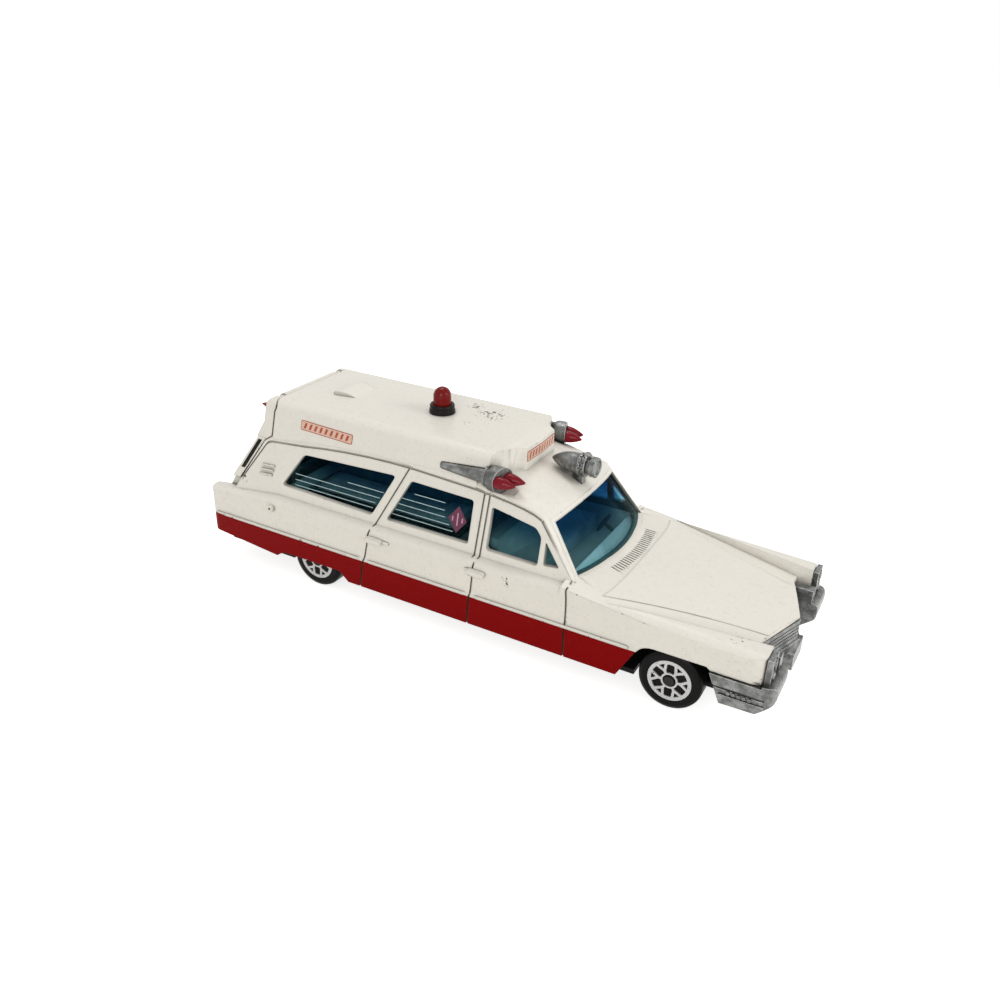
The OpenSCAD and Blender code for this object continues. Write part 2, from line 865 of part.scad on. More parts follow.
// Engraved lines of the cabin sides: drip rail, door posts, tailgate frame
module cabin_seams() {
    b_x = (front_win_end + rear_win_x) / 2;
    c_x = rear_win_end - c_post / 2;
    line = concat(
        [[seam_x - 8.6, sill_z + 0.6], [seam_x - 2.2, gate_knee_z - 2.2]],
        curve([seam_x - 1.6, gate_knee_z - 1.5], [seam_x - 0.8, gate_knee_z - 0.9],
            [seam_x + 1, gate_knee_z - 0.8], 3),
        curve([seam_x + 10, gate_knee_z], [seam_x + 26, drip_z + 0.4], [rear_win_end + 6, drip_z]),
        curve([rear_win_x, drip_z - 0.7], [front_win_x - 4, drip_z - 1.7],
            [front_win_x - 0.6, drip_z - 3.6])
    );
    intersection() {
        difference() {
            along_x(tail_x, nose_x) cabin_box(-1, cavity_z, drip_z + 3);
            along_x(tail_x - 1, nose_x + 1) cabin_box(seam_d, cavity_z - 1, drip_z + 4);
        }
        along_y(-far, far) {
            polygon(band(line, drip_w));
            polygon([
                [front_win_x - 0.6, drip_z - 3.9],
                [front_win_x - 0.6 + seam_w, drip_z - 3.4],
                [screen_x - 4.6 + seam_w, belt_z - 0.5],
                [screen_x - 4.6, belt_z - 0.5]
            ]);
            for (dx = [-0.5, 0.9])
                leaning_seam(b_x + dx, belt_z - 1, b_x + dx + 0.5, drip_z - 0.6);
            leaning_seam(c_x - 1, belt_z - 1, c_x + post_lean + 1.2, drip_z);
        }
    }
}

// Fan of vent slots in the cowl
module cowl_slots() {
    fan_r = screen_r - 2.5;
    spread = 24.4;
    slot_l = 2.4;
    slot_w = 0.32;
    slot_d = 0.9;
    for (i = [0 : slats - 1])
        rotate_about(screen_x + 1.5 - fan_r, spread * (i / (slats - 1) - 0.5))
            translate([fan_r, -slot_w / 2, hood_rear_z - slot_d]) cube([slot_l, slot_w, 2]);
}

// Turn about an upright axis on the centre line
module rotate_about(x, angle) {
    translate([x, 0, 0]) rotate([0, 0, angle]) children();
}

// Lugs that carry the hinge pin under the roof's rear corners
module hinge_lugs() {
    arm_z = hinge_z - 0.9;
    root_x = seam_x + 3;
    root_z = roof_z - wall + 0.4;
    both_sides()
        along_y(lug_y, lug_y + lug_w)
            difference() {
                union() {
                    translate([hinge_x, hinge_z]) circle(r = lug_r);
                    polygon([
                        [hinge_x, arm_z],
                        [seam_x + 0.3, arm_z],
                        [root_x, arm_z - 1.8],
                        [root_x, root_z],
                        [seam_x + 0.6, root_z],
                        [seam_x + 0.1, hinge_z + 0.7],
                        [hinge_x, hinge_z + 0.7]
                    ]);
                }
                translate([hinge_x, hinge_z]) circle(r = pin_r);
            }
}

// Posts that the baseplate is riveted to
module rivet_posts() {
    for (x = [front_post_x, rear_post_x])
        translate([x, 0, base_top_z])
            difference() {
                cylinder(d = post_d, h = (x > 0 ? hood_z(x) - 1 : deck_z - 0.8) - base_top_z);
                translate([0, 0, -1]) cylinder(d = rivet_d + 2 * seat_gap, h = rivet_l + 1.4);
            }
}

// Door handles and fuel cap, cast on the flanks
module flank_details() {
    handle_z = crest_z - 2.7;
    handle_l = 4.4;
    cap_d = 1.5;
    trim_in = 0.05;
    y = half_w - lip_d - 0.2;
    both_sides() {
        for (x = [rear_win_end + 0.6, front_win_end - 1.6])
            along_y(y, half_w - trim_in)
                polygon(rounded([[x - handle_l / 2, handle_z - 0.4], [x + handle_l / 2, handle_z - 0.4],
                    [x + handle_l / 2, handle_z + 0.4], [x - handle_l / 2, handle_z + 0.4]], 0.3, 2));
        translate([rear_axle_x - 12.9, half_w - trim_in, crest_z - 2.9]) rotate([90, 0, 0])
            cylinder(d = cap_d, h = half_w - trim_in - y);
    }
}

// Raised louvres on the rear posts
module louvres() {
    blades = 3;
    blade = [4.1, 0.8, 0.5];
    proud = 0.4;
    behind = 4.7;
    above = 4.9;
    step_x = 0.3;
    step_z = 1.2;
    rise = 4;
    for (i = [0 : blades - 1]) {
        x = quarter_end_x - behind - step_x * i;
        z = sill_z + above - step_z * i;
        both_sides()
            translate([x, side_y(z) + proud - blade[1] / 2, z]) rotate([0, -rise, 0])
                cube(blade, center = true);
    }
}

module body_shell() {
    color(paint) {
        difference() {
            union() {
                lower_body();
                greenhouse();
                intersection() {
                    raised_roof();
                    translate([seam_x, -far, 0]) cube([2 * far, 2 * far, 2 * far]);
                }
                vent_hatch();
                flank_details();
                louvres();
                screen_surround();
            }
            lower_hollow();
            cabin_hollow();
            roof_hollow();
            side_windows();
            screen_opening();
            wheel_wells();
            door_seams();
            cabin_seams();
            cowl_slots();
            gate_clearance();
            both_sides() pod_pocket();
        }
        hinge_lugs();
        rivet_posts();
    }
}

// Round cut that lets the tailgate's rolled edge turn
module gate_clearance() {
    translate([hinge_x, 0, hinge_z]) rotate([90, 0, 0])
        cylinder(r = roll_r + gate_gap, h = 2 * far, center = true);
}

// Side view of the tailgate
function gate_outer() = [
    [hinge_x, hinge_z + roll_r - 0.3],
    [gate_back_x, hinge_z - 0.2],
    [gate_back_x, hinge_z - 4.2],
    [gate_back_x - 1.9, gate_knee_z - 0.4],
    [gate_back_x - 1.9 - gate_slope * (gate_knee_z - 0.4 - gate_z), gate_z]
];

module tailgate_outline() {
    inner_x = seam_x - gate_gap;
    knee_x = seam_x - 2.6 - gate_gap;
    polygon(concat(
        gate_outer(),
        [
            [knee_x - gate_slope * (gate_knee_z - 1.2 - gate_z) - 0.3, gate_z],
            [knee_x, gate_knee_z - 1.2],
            [inner_x, gate_knee_z + 0.6],
            [inner_x, hinge_z - 0.8],
            [hinge_x, hinge_z - 0.8]
        ]
    ));
}

// Section of the tailgate: cabin sides below, raised roof above, clear of the fins
module tailgate_section() {
    low_y = fin_in_w / 2 - gate_gap;
    mid_z = crest_z + gate_gap;
    knee_y = side_y(gate_knee_z) - 0.15;
    base_y = roof_base_w / 2;
    top_y = roof_top_w / 2;
    polygon(mirrored(concat(
        [[low_y, gate_z - 1], [low_y, mid_z], [side_y(mid_z + 1) - 0.15, mid_z + 1]],
        [[knee_y, gate_knee_z - 1], [base_y, gate_knee_z]],
        curve([top_y + 0.3, roof_z - 2], [top_y - 0.3, roof_z - 0.3], [top_y - 3, roof_z - 0.2], 6),
        [[0, roof_z - 0.1]]
    )));
}

// Outline of the rear window across the car
function gate_window(inset) = rounded([
    [-gate_win_w / 2 + inset, sill_z + 0.4 + inset],
    [gate_win_w / 2 - inset, sill_z + 0.4 + inset],
    [gate_win_w / 2 - 1.6 - inset, gate_knee_z - 3 - inset],
    [-gate_win_w / 2 + 1.6 + inset, gate_knee_z - 3 - inset]
], 1.2);

module tailgate() {
    pin_end = lug_y + lug_w + lug_gap;
    color(paint) difference() {
        intersection() {
            along_y(-far, far) {
                tailgate_outline();
                translate([hinge_x, hinge_z]) circle(r = roll_r);
            }
            along_x(tail_x, seam_x + 1) tailgate_section();
        }
        along_x(tail_x, seam_x) polygon(gate_window(0));
        along_y(-pin_end, pin_end) translate([hinge_x, hinge_z]) circle(r = pin_r + run_gap);
        both_sides()
            along_y(roll_w / 2, pin_end) translate([hinge_x, hinge_z]) circle(r = roll_r + 0.15);
    }
}

// Pane that fills the rear window, flush with the inner face
module tailgate_window() {
    knee_x = seam_x - 2.6 - gate_gap;
    low_z = sill_z;
    high_z = gate_knee_z - 2.6;
    function line_x(z, d) = knee_x - gate_slope * (gate_knee_z - 1.2 - z) - d;
    color(tint) intersection() {
        along_x(tail_x, seam_x) polygon(gate_window(seat_gap));
        along_y(-far, far) polygon([
            [line_x(low_z, 0.5), low_z],
            [line_x(high_z, 0.5), high_z],
            [line_x(high_z, 0.5 + glass_t), high_z],
            [line_x(low_z, 0.5 + glass_t), low_z]
        ]);
    }
}

module hinge_pin() {
    pin_l = 2 * (lug_y + lug_w);
    color(steel) translate([hinge_x, 0, hinge_z]) rotate([90, 0, 0])
        cylinder(r = pin_r, h = pin_l, center = true);
}

// Both side strips, windscreen and cross straps of the tinted moulding
module window_unit() {
    inset = wall + seat_gap;
    strap_y = side_y(ceiling_z) - inset - glass_t / 2;
    strap_z = ceiling_z - seat_gap - glass_t;
    color(tint) {
        intersection() {
            difference() {
                along_x(tail_x, nose_x) cabin_box(inset, rail_z, ceiling_z - seat_gap);
                along_x(tail_x - 1, nose_x + 1) cabin_box(inset + glass_t, rail_z - 1, ceiling_z + 1);
            }
            along_y(-far, far) polygon([
                [quarter_end_x - 3, rail_z],
                [quarter_end_x + 3, ceiling_z],
                [screen_x - 14.4, ceiling_z],
                [screen_x - 9.4, screen_top_z],
                [screen_x + 2, rail_z]
            ]);
            screen_solid(inset);
            translate([0, 0, -inset]) cab_crown();
        }
        // Windscreen, raised to fill its opening
        intersection() {
            difference() {
                screen_solid(inset);
                screen_solid(inset + glass_t);
            }
            along_x(roof_x + 6, screen_x + 3) cabin_box(inset, screen_z - 0.6, screen_top_z);
            translate([0, 0, -inset]) cab_crown();
        }
        intersection() {
            difference() {
                screen_solid(screen_recess);
                screen_solid(inset + glass_t / 2);
            }
            screen_prism(-seat_gap);
        }
        for (x = [quarter_end_x + 4, rear_win_end + post_lean - 4, roof_x])
            translate([x, -strap_y, strap_z]) cube([4, 2 * strap_y, glass_t]);
    }
}

// Plan of the baseplate, waisted at the wheels
module base_outline() {
    y = base_w / 2;
    waist = base_waist_w / 2;
    rear_x = tail_panel_x + 2.3;
    front_x = notch_x - 1.5;
    polygon(mirrored_plan([
        [rear_x, 0],
        [rear_x, y],
        [rear_axle_x - well_r - 0.4, y],
        [rear_axle_x - well_r - 0.4, waist],
        [rear_axle_x + well_r + 0.4, waist],
        [rear_axle_x + well_r + 0.4, y],
        [front_axle_x - well_r - 0.4, y],
        [front_axle_x - well_r - 0.4, waist],
        [front_x, waist],
        [front_x, 0]
    ]));
}

module baseplate() {
    bearing_l = 5;
    bearing_t = 3;
    color(black) difference() {
        union() {
            translate([0, 0, base_z]) linear_extrude(base_t) base_outline();
            for (x = [front_axle_x, rear_axle_x])
                both_sides()
                    translate([x - bearing_l / 2, bearing_w / 2 - bearing_t, base_z])
                        cube([bearing_l, bearing_t, axle_z + axle_r + 1.2 - base_z]);
        }
        for (x = [front_axle_x, rear_axle_x])
            translate([x, 0, axle_z]) rotate([90, 0, 0])
                cylinder(r = axle_r + run_gap, h = 2 * far, center = true);
        for (x = [front_post_x, rear_post_x])
            translate([x, 0, 0]) {
                cylinder(d = rivet_d + 2 * seat_gap, h = far);
                cylinder(d = rivet_head_d + 2 * seat_gap, h = base_z + rivet_head_h + seat_gap);
            }
    }
}

// Rivet whose head is sunk in the baseplate
module rivet(x) {
    color(steel) translate([x, 0, base_z + seat_gap]) {
        cylinder(d = rivet_head_d, h = rivet_head_h);
        cylinder(d = rivet_d, h = base_t - seat_gap + rivet_l);
    }
}

module front_rivet() {
    rivet(front_post_x);
}

module rear_rivet() {
    rivet(rear_post_x);
}

// Cast grille, headlamps and bumper in one piece
module front_casting() {
    y = half_w;
    wing_x = nose_x - wing_l;
    wing_top_z = fender_low_z - 0.2;
    end_top_z = grille_z + 1.2;
    lamp_y = fender_tip_w / 2 - 1.1;
    lamp_back_x = fender_x + seat_gap;
    grille_top_z = lip_under_z - seat_gap;
    rib_pitch = (grille_top_z - grille_z) / grille_ribs;
    inner_y = prow_w / 2 + 0.4;
    bar_front = 0.9;
    plate_z = wing_z;
    tongue_x = notch_x - 3.5;
    color(zinc) {
        // Grille with its grooves
        difference() {
            prow_slab(-grille_depth + seat_gap, 0.3, prow_w / 2 + 0.1, bar_z, grille_top_z);
            for (i = [1 : grille_ribs - 1])
                prow_slab(0, 2, prow_w / 2 + 1, grille_z + (i - 0.3) * rib_pitch, grille_z + i * rib_pitch);
        }
        // Bumper bar and number plate block
        prow_slab(-grille_depth + seat_gap, bar_front, prow_w / 2 + 0.6, bar_z, grille_z);
        translate([prow_x - 3.2, -plate_w / 2, plate_z]) cube([4.2, plate_w, bar_z + 0.3 - plate_z]);
        both_sides() {
            // Bumper end and side wing
            intersection() {
                along_y(inner_y - 0.6, y) polygon(concat(
                    [[wing_x + 2.8, wing_z], [nose_x - 3.6, wing_z + 0.2]],
                    curve([nose_x - 1, bar_z - 1.4], [nose_x, bar_z - 0.8], [nose_x, bar_z + 0.8], 4),
                    curve([nose_x, grille_z - 0.2], [nose_x, end_top_z], [nose_x - 1.2, end_top_z], 4),
                    [[lamp_back_x, end_top_z], [lamp_back_x, wing_top_z], [wing_x, wing_top_z]]
                ));
                difference() {
                    linear_extrude(far) polygon(concat(
                        [[wing_x - 1, 0], [wing_x - 1, y]],
                        curve([nose_x - 3, y], [nose_x + 0.2, y - 0.2], [nose_x + 0.2, y - 3]),
                        [[nose_x + 0.2, 0]]
                    ));
                    // Hollow behind the wing, and the rib line along it
                    translate([wing_x - 2, -far, -1]) cube([notch_x + 1 - wing_x + 2, far + y - 2.2, far]);
                    translate([wing_x - 2, y - 0.35, bar_z - 0.2]) cube([wing_l, 1, 0.5]);
                }
            }
            // Headlamp housing with two lamps one above the other
            difference() {
                union() {
                    translate([lamp_back_x, lamp_y - 2.3, grille_z + 0.4])
                        cube([1.2, 4.5, nose_z - 0.5 - grille_z - 0.4]);
                    translate([notch_x + seat_gap, inner_y - 0.6, bar_z + 1])
                        cube([lamp_back_x - notch_x + 1.3, 2.4, lip_under_z - bar_z - 1.4]);
                }
                for (i = [0, 1])
                    translate([lamp_back_x + 0.9, lamp_y, grille_z + 2.4 + i * (headlamp_d + 0.1)])
                        rotate([0, 90, 0]) cylinder(d = headlamp_d, h = 5);
            }
            for (i = [0, 1])
                translate([lamp_back_x + 0.6, lamp_y, grille_z + 2.4 + i * (headlamp_d + 0.1)])
                    rotate([0, 90, 0]) cylinder(d1 = headlamp_d - 0.6, d2 = headlamp_d - 1.6, h = 0.9);
        }
        // Web and tongue that seat on the baseplate
        translate([prow_x - 4.6, -inner_y, base_top_z]) cube([2, 2 * inner_y, bar_z + 0.4 - base_top_z]);
        translate([tongue_x, -inner_y, base_top_z]) cube([prow_x - 3 - tongue_x, 2 * inner_y, 1.2]);
    }
}

// Slab that follows the prow between two offsets and two heights
module prow_slab(back, front, y, z0, z1) {
    slope = prow_l / (prow_w / 2);
    translate([0, 0, z0]) linear_extrude(z1 - z0) polygon([
        [prow_x + front, 0],
        [prow_x + front - slope * y, y],
        [prow_x + back - slope * y, y],
        [prow_x + back, 0],
        [prow_x + back - slope * y, -y],
        [prow_x + front - slope * y, -y]
    ]);
}

module rear_bumper() {
    y = fin_in_w / 2 - 0.3;
    back_x = tail_panel_x - seat_gap;
    plate_y = plate_w / 2;
    color(zinc) {
        along_y(-y, y) polygon(rounded([
            [back_x, tail_z - 0.2],
            [back_x, tail_z + rear_bar_h],
            [tail_x + 0.5, tail_z + rear_bar_h - 0.4],
            [tail_x, tail_z + rear_bar_h / 2],
            [tail_x + 0.5, tail_z + 0.2]
        ], 0.4, 2));
        translate([tail_x + 0.8, -plate_y, tail_z + rear_bar_h - 0.6])
            cube([back_x - tail_x - 0.8, 2 * plate_y, rear_plate_h]);
    }
}

// Interior floor, side rails, bench seat, partition and dash
module interior_tray() {
    y = tray_w / 2;
    under_z = floor_z - tray_t;
    seat_x = roof_x + 1;
    dash_gap = 0.2;
    color([0.86, 0.86, 0.82]) {
        translate([tray_rear_x, -y, under_z]) cube([tray_front_x - tray_rear_x, 2 * y, tray_t]);
        both_sides()
            translate([quarter_end_x - 2, y - tray_t, under_z])
                cube([dash_x - quarter_end_x + 2, tray_t, rail_z - under_z]);
        translate([seat_x, -y + seat_in, under_z]) {
            cube([seat_back_t + seat_l, 2 * (y - seat_in), seat_h]);
            cube([seat_back_t, 2 * (y - seat_in), seat_back_h]);
        }
        // Dash, its front edge behind the windscreen's curve
        intersection() {
            translate([dash_x, -y + 0.6, under_z]) cube([far, 2 * y - 1.2, dash_z - under_z]);
            screen_solid(wall + seat_gap + glass_t + dash_gap);
        }
        for (x = [tray_front_x - 2 * leg_w, rear_win_end, tray_rear_x + leg_w])
            both_sides()
                translate([x, y - leg_in, base_top_z]) cube([leg_w, leg_w, under_z - base_top_z]);
    }
}

// Wheel on a raked column, on the left of the cab
module steering_wheel() {
    column_l = 3.2;
    rim_d = 0.8;
    column_d = 0.9;
    rake = 62;
    color(black) translate([dash_x - column_d / 2, tray_w / 4, dash_z - 1]) rotate([0, -rake, 0]) {
        cylinder(d = column_d, h = column_l);
        translate([0, 0, column_l]) {
            rotate_extrude() translate([steering_d / 2 - rim_d / 2, 0]) circle(d = rim_d, $fn = 24);
            cube([steering_d - rim_d, 0.7, 0.5], center = true);
            cube([0.7, steering_d - rim_d, 0.5], center = true);
        }
    }
}

// Low frame of the stretcher with rails along its sides
module stretcher_frame() {
    y = stretcher_w / 2;
    h = 1.6;
    inner = [stretcher_l - 2 * stretcher_rail, stretcher_w - 2 * stretcher_rail, h];
    color(zinc) difference() {
        translate([stretcher_x, -y, floor_z]) cube([stretcher_l, stretcher_w, h]);
        translate([stretcher_x + stretcher_rail, -y + stretcher_rail, floor_z + stretcher_bed]) cube(inner);
    }
}

module stretcher_mattress() {
    edge = stretcher_rail + seat_gap;
    y = stretcher_w / 2 - edge;
    x0 = stretcher_x + edge;
    x1 = stretcher_x + stretcher_l - edge;
    z0 = floor_z + stretcher_bed;
    z1 = z0 + mattress_t;
    pillow_x = x1 - 1 - pillow_l;
    color([0.8, 0.82, 0.84]) {
        along_y(-y, y) polygon(rounded([[x0, z0], [x1, z0], [x1, z1], [x0, z1]], 0.5, 3));
        along_y(-y + 1, y - 1) polygon(rounded([
            [pillow_x, z1 - 0.4],
            [pillow_x + pillow_l, z1 - 0.4],
            [pillow_x + pillow_l, z1 + pillow_t],
            [pillow_x, z1 + pillow_t - 0.4]
        ], 0.5, 3));
    }
}

module beacon_ring() {
    seat_d = beacon_d + 2 * seat_gap;
    color(black) translate([beacon_x, 0, roof_z]) rotate_extrude() polygon([
        [seat_d / 2, 0.6],
        [seat_d / 2, beacon_ring_h],
        [beacon_ring_d / 2 - 0.3, beacon_ring_h],
        [beacon_ring_d / 2 - 0.1, beacon_ring_h - 0.4],
        [beacon_ring_d / 2 - 0.25, beacon_ring_h / 2],
        [beacon_ring_d / 2, beacon_ring_h / 2 - 0.2],
        [beacon_ring_d / 2, 0],
        [0, 0],
        [0, 0.6]
    ]);
}

module beacon_dome() {
    r = beacon_d / 2;
    straight_h = beacon_h - r - 0.6;
    color(red) translate([beacon_x, 0, roof_z + 0.6]) {
        cylinder(r = r, h = straight_h);
        translate([0, 0, straight_h]) intersection() {
            sphere(r = r);
            translate([-r, -r, 0]) cube(2 * r);
        }
    }
}

// Profile of the siren along its axis: bullet tail, two bands, neck and bell
module siren_profile() {
    r = siren_d / 2;
    groove_r = r * 0.88;
    neck_r = r * 0.72;
    polygon(concat(
        [[0, 0]],
        curve([0.25, 0], [r * 0.95, siren_band_l * 0.35], [r * 0.9, siren_band_l], 6),
        [
            [r, siren_band_l + 0.2],
            [r, siren_band_l + 0.9],
            [groove_r, siren_band_l + 1],
            [groove_r, siren_band_l + 1.3],
            [r, siren_band_l + 1.4],
            [r, siren_band_l + 2.1],
            [neck_r, siren_band_l + 2.3],
            [neck_r, siren_band_l + 3],
            [groove_r, siren_band_l + 3.2],
            [groove_r, siren_l - 0.2],
            [groove_r - 0.3, siren_l],
            [groove_r - 0.6, siren_l],
            [groove_r - 0.8, siren_l - 0.4],
            [0, siren_l - 0.4]
        ]
    ));
}

// Bullet-shaped siren with slots round its bands, on a foot that follows the cab roof
module siren() {
    foot_x = siren_tail_x + siren_band_l;
    foot_w = 1.8;
    slots = 12;
    slot_w = 0.4;
    color(zinc) {
        difference() {
            translate([siren_tail_x, 0, siren_z]) rotate([0, 90, 0]) rotate_extrude() siren_profile();
            for (i = [0 : slots - 1])
                translate([foot_x, 0, siren_z]) rotate([i * 360 / slots, 0, 0])
                    translate([0.5, -slot_w / 2, siren_d / 2 - 0.3]) cube([1.3, slot_w, 1]);
        }
        // Knob on the band
        translate([foot_x + 1.2, -0.7, siren_z + siren_d / 2 - 0.4]) cube([1.2, 1.4, 0.7]);
        difference() {
            along_y(-foot_w / 2, foot_w / 2) polygon([
                [foot_x - 1.6, cab_z - 6],
                [foot_x + 1.4, cab_z - 6],
                [foot_x + 1.2, siren_z - 1.5],
                [foot_x - 1.2, siren_z - 1.5]
            ]);
            greenhouse();
        }
    }
}

// Profile of a warning pod along its axis: blunt tapered tail, collar, domed ring
module pod_profile(grow) {
    r = pod_d / 2 + grow;
    tip_r = 0.75 + grow;
    root_r = 1.8 + grow;
    collar_r = 2.3 + grow;
    collar_l = 0.5;
    front_l = pod_ring_l + pod_d / 2;
    polygon(concat(
        [
            [0, -pod_tail_l - grow],
            [tip_r - 0.2, -pod_tail_l - grow],
            [tip_r, -pod_tail_l + 0.4 - grow],
            [root_r, -2 * collar_l - grow],
            [collar_r, -2 * collar_l - grow],
            [collar_r, -collar_l],
            [root_r + 0.3, -collar_l],
            [root_r + 0.3, -grow]
        ],
        curve([collar_r, -grow], [r - 0.1, -grow], [r, 1.2 - grow], 4),
        [[r, front_l], [0, front_l]]
    ));
}

module pod_at_left(grow) {
    translate([pod_x, pod_span / 2, pod_z]) rotate([0, 90, 0]) rotate_extrude() pod_profile(grow);
}

// Twin ogive lenses side by side, starting behind the face of the left pod
module lens_pair(grow) {
    r = cone_d / 2 + grow;
    root_l = 1.2;
    for (side = [-1, 1])
        translate([
            pod_front_x - side * cone_pitch / 2 * tan(pod_sweep),
            pod_span / 2 + side * cone_pitch / 2,
            pod_z
        ])
            rotate([0, 90, 0]) rotate_extrude() polygon(concat(
                [[0, -root_l], [r, -root_l]],
                curve([r, 0], [r, cone_l * 0.45], [0.25, cone_l + grow]),
                [[0, cone_l + grow]]
            ));
}

// Everything in front of the left pod's swept face, or behind it
module past_pod_face(front) {
    translate([pod_front_x, pod_span / 2, pod_z]) rotate([0, 0, pod_sweep])
        translate([front ? 0 : -far, -far, -far]) cube([far, 2 * far, 2 * far]);
}

// Space that a pod and its lenses need in the roof
module pod_pocket() {
    pod_at_left(seat_gap);
    lens_pair(seat_gap);
}

module pod_left() {
    color(zinc) difference() {
        pod_at_left(0);
        past_pod_face(true);
    }
}

module pod_right() {
    mirror([0, 1, 0]) pod_left();
}

module pod_lenses_left() {
    color(red) difference() {
        lens_pair(0);
        past_pod_face(false);
    }
}

module pod_lenses_right() {
    mirror([0, 1, 0]) pod_lenses_left();
}

module rear_lamp_bases() {
    color(black) both_sides()
        translate([gate_back_x, lamp_span / 2, lamp_z]) rotate([0, -90, 0])
            cylinder(d1 = lamp_base_d, d2 = lamp_base_d - 0.4, h = lamp_base_l);
}

module rear_lamp_lenses() {
    color(red) both_sides()
        translate([gate_back_x - lamp_base_l, lamp_span / 2, lamp_z]) rotate([0, -90, 0])
            cylinder(d1 = lamp_base_d - 0.6, d2 = lamp_tip_d, h = lamp_lens_l);
}

// Axle with a peened head at each end
module axle(x) {
    head_h = 0.2;
    head_gap = 0.05;
    color(steel) translate([x, 0, axle_z]) rotate([90, 0, 0]) {
        cylinder(r = axle_r, h = track_w + 2 * head_gap, center = true);
        for (s = [-1, 1])
            translate([0, 0, s * (wheel_face + head_gap + head_h / 2)])
                cylinder(r = axle_r + 0.35, h = head_h, center = true);
    }
}

module front_axle() {
    axle(front_axle_x);
}

module rear_axle() {
    axle(rear_axle_x);
}

// Tyre and hub in one moulding, with a recess for the trim, outer face towards +Y
module wheel(x) {
    bore_r = axle_r + run_gap;
    color(black) translate([x, wheel_face, axle_z]) rotate([90, 0, 0]) rotate_extrude() polygon([
        [bore_r, 0],
        [trim_hub_r - seat_gap, 0],
        [trim_hub_r - seat_gap, trim_t],
        [trim_d / 2, trim_t],
        [trim_d / 2, 0],
        [wheel_r - 0.9, 0],
        [wheel_r - 0.2, 0.35],
        [wheel_r, 0.9],
        [wheel_r, wheel_w - 0.6],
        [wheel_r - 0.6, wheel_w],
        [bore_r, wheel_w]
    ]);
}

// Stamped trim: outer ring, forked spokes and a ring round the hub
module trim_outline() {
    outer_r = trim_d / 2 - seat_gap;
    ring_w = 0.8;
    hub_ring_w = 0.4;
    spoke_w = 0.58;
    fork_r = 2.5;
    fork = 35;
    difference() {
        circle(r = outer_r);
        circle(r = outer_r - ring_w);
    }
    difference() {
        circle(r = trim_hub_r + hub_ring_w);
        circle(r = trim_hub_r);
    }
    for (i = [0 : spokes - 1])
        rotate(i * 360 / spokes) {
            translate([trim_hub_r + hub_ring_w / 2, -spoke_w / 2]) square([fork_r - trim_hub_r, spoke_w]);
            for (s = [-1, 1])
                translate([fork_r, 0]) rotate(s * fork)
                    translate([-0.2, -spoke_w / 2]) square([outer_r - fork_r + 0.3, spoke_w]);
        }
}

module trim(x) {
    color(steel) translate([x, wheel_face, axle_z]) rotate([90, 0, 0])
        linear_extrude(trim_t) intersection() {
            trim_outline();
            circle(r = trim_d / 2 - seat_gap);
        }
}

module wheel_front_left() {
    wheel(front_axle_x);
}

module wheel_front_right() {
    mirror([0, 1, 0]) wheel(front_axle_x);
}

module wheel_rear_left() {
    wheel(rear_axle_x);
}

module wheel_rear_right() {
    mirror([0, 1, 0]) wheel(rear_axle_x);
}

module trim_front_left() {
    trim(front_axle_x);
}

module trim_front_right() {
    mirror([0, 1, 0]) trim(front_axle_x);
}

module trim_rear_left() {
    trim(rear_axle_x);
}

module trim_rear_right() {
    mirror([0, 1, 0]) trim(rear_axle_x);
}

body_shell();
tailgate();
tailgate_window();
hinge_pin();
window_unit();
baseplate();
front_casting();
rear_bumper();
interior_tray();
steering_wheel();
stretcher_frame();
stretcher_mattress();
beacon_ring();
beacon_dome();
siren();
pod_right();
pod_left();
pod_lenses_right();
pod_lenses_left();
rear_lamp_bases();
rear_lamp_lenses();
front_axle();
rear_axle();
front_rivet();
rear_rivet();
wheel_front_right();
wheel_front_left();
wheel_rear_right();
wheel_rear_left();
trim_front_right();
trim_front_left();
trim_rear_right();
trim_rear_left();
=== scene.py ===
"""Looks of the toy ambulance: enamel, bare castings, tinted windows, prints and studio light.

Lengths are in millimetres in the car's frame (+X nose, +Y the car's left side, +Z up) until to_m() turns
them into Blender's metres.
"""

import json
import math

import bmesh
import bpy
from mathutils import Matrix, Vector
from mathutils.bvhtree import BVHTree


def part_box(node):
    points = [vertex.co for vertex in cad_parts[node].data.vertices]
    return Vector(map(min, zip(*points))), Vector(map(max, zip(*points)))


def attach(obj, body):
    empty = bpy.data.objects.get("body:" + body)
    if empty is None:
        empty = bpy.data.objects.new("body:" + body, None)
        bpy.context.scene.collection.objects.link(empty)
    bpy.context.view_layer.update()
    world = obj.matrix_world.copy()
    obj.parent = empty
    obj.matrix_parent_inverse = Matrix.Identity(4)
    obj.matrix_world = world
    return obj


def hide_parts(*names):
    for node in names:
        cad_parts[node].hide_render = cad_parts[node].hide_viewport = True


MM = 0.001

# Camera at the photograph's view
LENS_MM = 33.582
SENSOR_MM = 36.0
VIEW_TARGET = (-0.675, 0.0, 26.323)
VIEW_DISTANCE = 230.796
VIEW_AZIMUTH = 28.518
VIEW_ELEVATION = 26.471
VIEW_ROLL = 1.8575

# Body lines that the materials and the prints follow
BAND_TOP_Z = 12.62
BAND_MIN_Y = 21.6
BAND_TAIL_X = -72.5
BELT_Z = 23.0
BELT_HALF_W = 20.5
TUMBLE = 0.235
DASH_X = 26.7

# Window moulding: depth of its side faces, then the depths and heights between which its tints change; with
# height they go from painted light to painted shade
GLASS_INSET = 1.4
FLANK_DEEP = 2.1
FLANK_SHALLOW = 1.8
GLASS_LOW_Z = 24.0
GLASS_HIGH_Z = 37.0
CROWN_LOW_Z = 25.0
CROWN_HIGH_Z = 32.0

